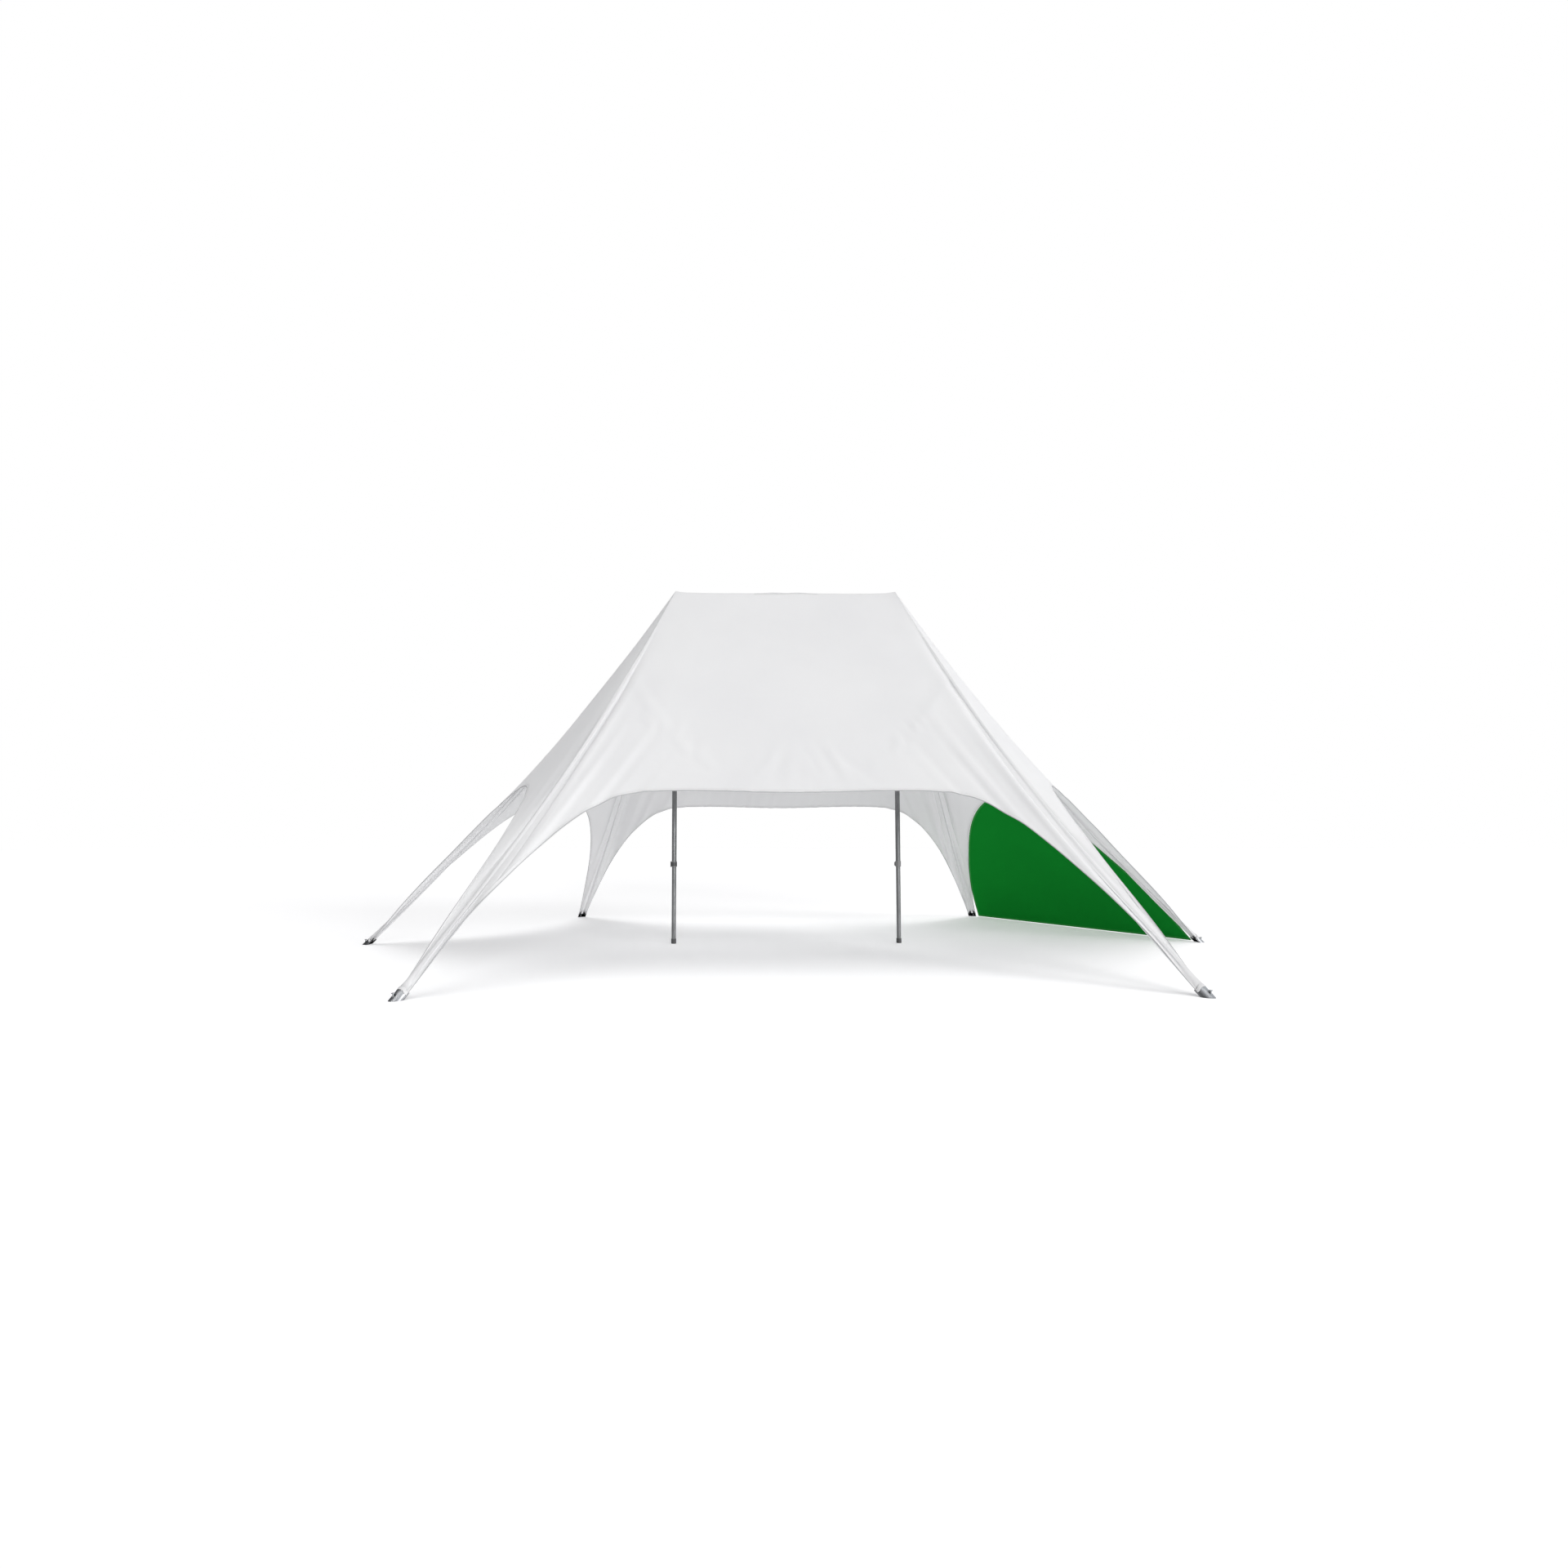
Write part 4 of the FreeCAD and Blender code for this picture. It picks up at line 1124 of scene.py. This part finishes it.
# ---- stage
FLOOR_SIZE = 240.0
FLOOR_GLOW = 0.36  # keeps the pale floor white outside the shadow
WIDE = math.radians(62)
SOFT = math.radians(20)
LIGHTS = {  # the direction towards each lamp, its strength, its spread and whether it casts shadows
    "overhead": ((0.0, 0.05, 1.0), 1.95, WIDE, True),
    "front_fill": ((0.25, -0.90, 0.20), 1.22, SOFT, True),
    "right_fill": ((0.75, -0.60, 0.35), 1.15, SOFT, True),
    "side_fill": ((0.90, -0.10, -0.30), 0.45, SOFT, False),
    "low_fill": ((-0.75, -0.40, -0.50), 0.20, SOFT, False),
}
SKY = (0.93, 0.96, 1.0)
SKY_MIRRORED_LEFT = 0.10
SKY_MIRRORED_RIGHT = 1.10
FLAG_HEIGHT = 0.30  # of the unseen shade above the floor
FLAG_ENDS = 0.58  # share of the light it holds back near the outer feet
FLAG_FRONT = 0.26  # the same in front of the middle
FLAG_FADE = 0.82  # parts of its outline where it starts to thin out and ends
FLAG_EDGE = 1.06
FLAG_CURVE = {  # how far its edge bends inwards after each foot, in order round it
    "front_left": 0.2,
    "mid_left": 0.9,
    "back_left": 2.2,
    "back_right": 0.9,
    "mid_right": 0.3,
    "front_right": 0.0,
}


def build_floor():
    """A plain pale floor without shine."""
    shader = Shader("floor", 0.9)
    shader.surface.inputs["Specular IOR Level"].default_value = 0.0
    cloud = shader.noise(0.6, shader.place(), detail=3)
    shader.link(shader.mix(cloud, (0.80, 0.80, 0.805), (0.81, 0.81, 0.812)), "Base Color")
    shader.surface.inputs["Emission Color"].default_value = (0.985, 0.985, 1, 1)
    shader.surface.inputs["Emission Strength"].default_value = FLOOR_GLOW
    mesh = bpy.data.meshes.new("floor")
    half = FLOOR_SIZE / 2
    corners = [(-half, -half, 0), (half, -half, 0), (half, half, 0), (-half, half, 0)]
    mesh.from_pydata(corners, [], [(0, 1, 2, 3)])
    floor = bpy.data.objects.new("floor", mesh)
    mesh.materials.append(shader.material)
    bpy.context.scene.collection.objects.link(floor)


def add_light(name, toward, strength, spread, shadow):
    """A distant lamp that shines from the given direction."""
    lamp = bpy.data.lights.new(name, "SUN")
    lamp.energy = strength
    lamp.angle = spread
    lamp.use_shadow = shadow
    lamp.cycles.use_multiple_importance_sampling = False
    light = bpy.data.objects.new(name, lamp)
    light.rotation_euler = Vector(toward).to_track_quat("Z", "Y").to_euler()
    bpy.context.scene.collection.objects.link(light)


def build_world():
    """White behind the tent, a soft sky in reflections that is dimmer on the left, and no light from it."""
    world = bpy.data.worlds.new("studio")
    bpy.context.scene.world = world
    world.use_nodes = True
    nodes, links = world.node_tree.nodes, world.node_tree.links

    def background(colour, strength):
        made = nodes.new("ShaderNodeBackground")
        made.inputs["Color"].default_value = (*colour, 1)
        made.inputs["Strength"].default_value = strength
        return made

    def choose(share, first, second):
        made = nodes.new("ShaderNodeMixShader")
        for socket, output in zip(made.inputs, (share, first.outputs[0], second.outputs[0])):
            links.new(output, socket)
        return made

    path = nodes.new("ShaderNodeLightPath")
    sideways = nodes.new("ShaderNodeSeparateXYZ")
    links.new(nodes.new("ShaderNodeTexCoord").outputs["Generated"], sideways.inputs[0])
    rightness = nodes.new("ShaderNodeMapRange")
    rightness.inputs["From Min"].default_value = -0.85
    rightness.inputs["From Max"].default_value = 0.85
    links.new(sideways.outputs["X"], rightness.inputs["Value"])
    left, right = background(SKY, SKY_MIRRORED_LEFT), background(SKY, SKY_MIRRORED_RIGHT)
    mirrored = choose(rightness.outputs[0], left, right)
    unlit = background(SKY, 0.0)
    unseen = choose(path.outputs["Is Glossy Ray"], unlit, mirrored)
    seen = choose(path.outputs["Is Camera Ray"], unseen, background((1, 1, 1), 1.0))
    links.new(seen.outputs[0], nodes["World Output"].inputs["Surface"])


def flag_outline():
    """The star of the six feet, with an edge that bends inwards between them."""
    tips = [placed(crown(0.0), *LEGS[leg]) for leg in FLAG_CURVE]
    outline = []
    for bend, tip, after in zip(FLAG_CURVE.values(), tips, tips[1:] + tips[:1]):
        inward = -unit((tip + after) * np.array([1.0, 1.0, 0.0]))
        for t in np.linspace(0, 1, 12, endpoint=False):
            outline.append(tip + (after - tip) * t + inward * bend * 4 * t * (1 - t))
    return np.array(outline)


def flag_density(x, y, share):
    """How much light the flag holds back: near the outer feet and in front of the middle, not at its edge."""
    ends = FLAG_ENDS * ease(np.abs(x), 1.0, 4.2) * ease(y, -3.4, -0.6)
    front = FLAG_FRONT * ease(-y, 0.2, 1.5) * (1 - ease(-y, 1.9, 3.3))
    return np.maximum(ends, front) * (1 - ease(share, FLAG_FADE, FLAG_EDGE))


def build_flag():
    """A thin unseen shade close above the floor, so that the tent's shadow reaches the feet."""
    outline = flag_outline()
    share = np.linspace(0.1, FLAG_EDGE, 17)[:, None]
    x, y = share * outline[:, 0], share * outline[:, 1]
    rings = np.stack([x, y, np.full_like(x, FLAG_HEIGHT)], axis=-1)
    mesh = bpy.data.meshes.new("flag")
    mesh.from_pydata([tuple(p) for p in rings.reshape(-1, 3)], [], grid_faces(*x.shape, closed=True))
    layer = mesh.attributes.new("shade", "FLOAT", "POINT")
    layer.data.foreach_set("value", flag_density(x, y, share).ravel())
    shader = Shader("flag", 1.0)
    shade = shader.node("Attribute", attribute_name="shade", attribute_type="GEOMETRY").outputs["Fac"]
    shader.link(shade, "Alpha")
    mesh.materials.append(shader.material)
    flag = bpy.data.objects.new("flag", mesh)
    for ray in ("camera", "diffuse", "glossy", "transmission", "volume_scatter"):
        setattr(flag, "visible_" + ray, False)
    bpy.context.scene.collection.objects.link(flag)


def build_light():
    """One wide lamp overhead, two in front and two weak ones that only brighten the shaded sides."""
    build_world()
    build_flag()
    for name, settings in LIGHTS.items():
        add_light(name, *settings)


CAMERA_PLACE = (-0.515, -11.410, 1.555)  # eye height, a little left of the middle
CAMERA_LIFT = 0.0568  # looking slightly up, in radians
CAMERA_ROLL = 0.0009
CAMERA_TURN = -0.0137
CAMERA_SENSOR = 36  # in millimetres
CAMERA_LENS = 17.21
CAMERA_SHIFT = (0.0136, 0.0085)


def build_camera():
    data = bpy.data.cameras.new("camera")
    data.sensor_width = CAMERA_SENSOR
    data.lens = CAMERA_LENS
    data.shift_x, data.shift_y = CAMERA_SHIFT
    data.clip_end = 2 * FLOOR_SIZE
    camera = bpy.data.objects.new("camera", data)
    camera.location = CAMERA_PLACE
    camera.rotation_euler = (math.pi / 2 + CAMERA_LIFT, CAMERA_ROLL, CAMERA_TURN)
    bpy.context.scene.collection.objects.link(camera)
    bpy.context.scene.camera = camera
    bpy.context.scene.view_settings.view_transform = "Standard"


# ---- build
looks = make_materials()
dress_nodes(looks)
grids = canopy_grids()
build_canopy(grids, looks["canopy"])
hems = [build_hem(name + "_hem", grid, looks["hem"]) for name, grid in grids.items()]
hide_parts("hem_ropes")
for leg in LEGS:
    build_cuff_band(leg, looks["cuff"])
    build_leg_belt(leg, grids, looks["webbing"])
build_ridge_belt(looks["webbing"])
build_wall(looks)
build_floor()
build_light()
build_camera()
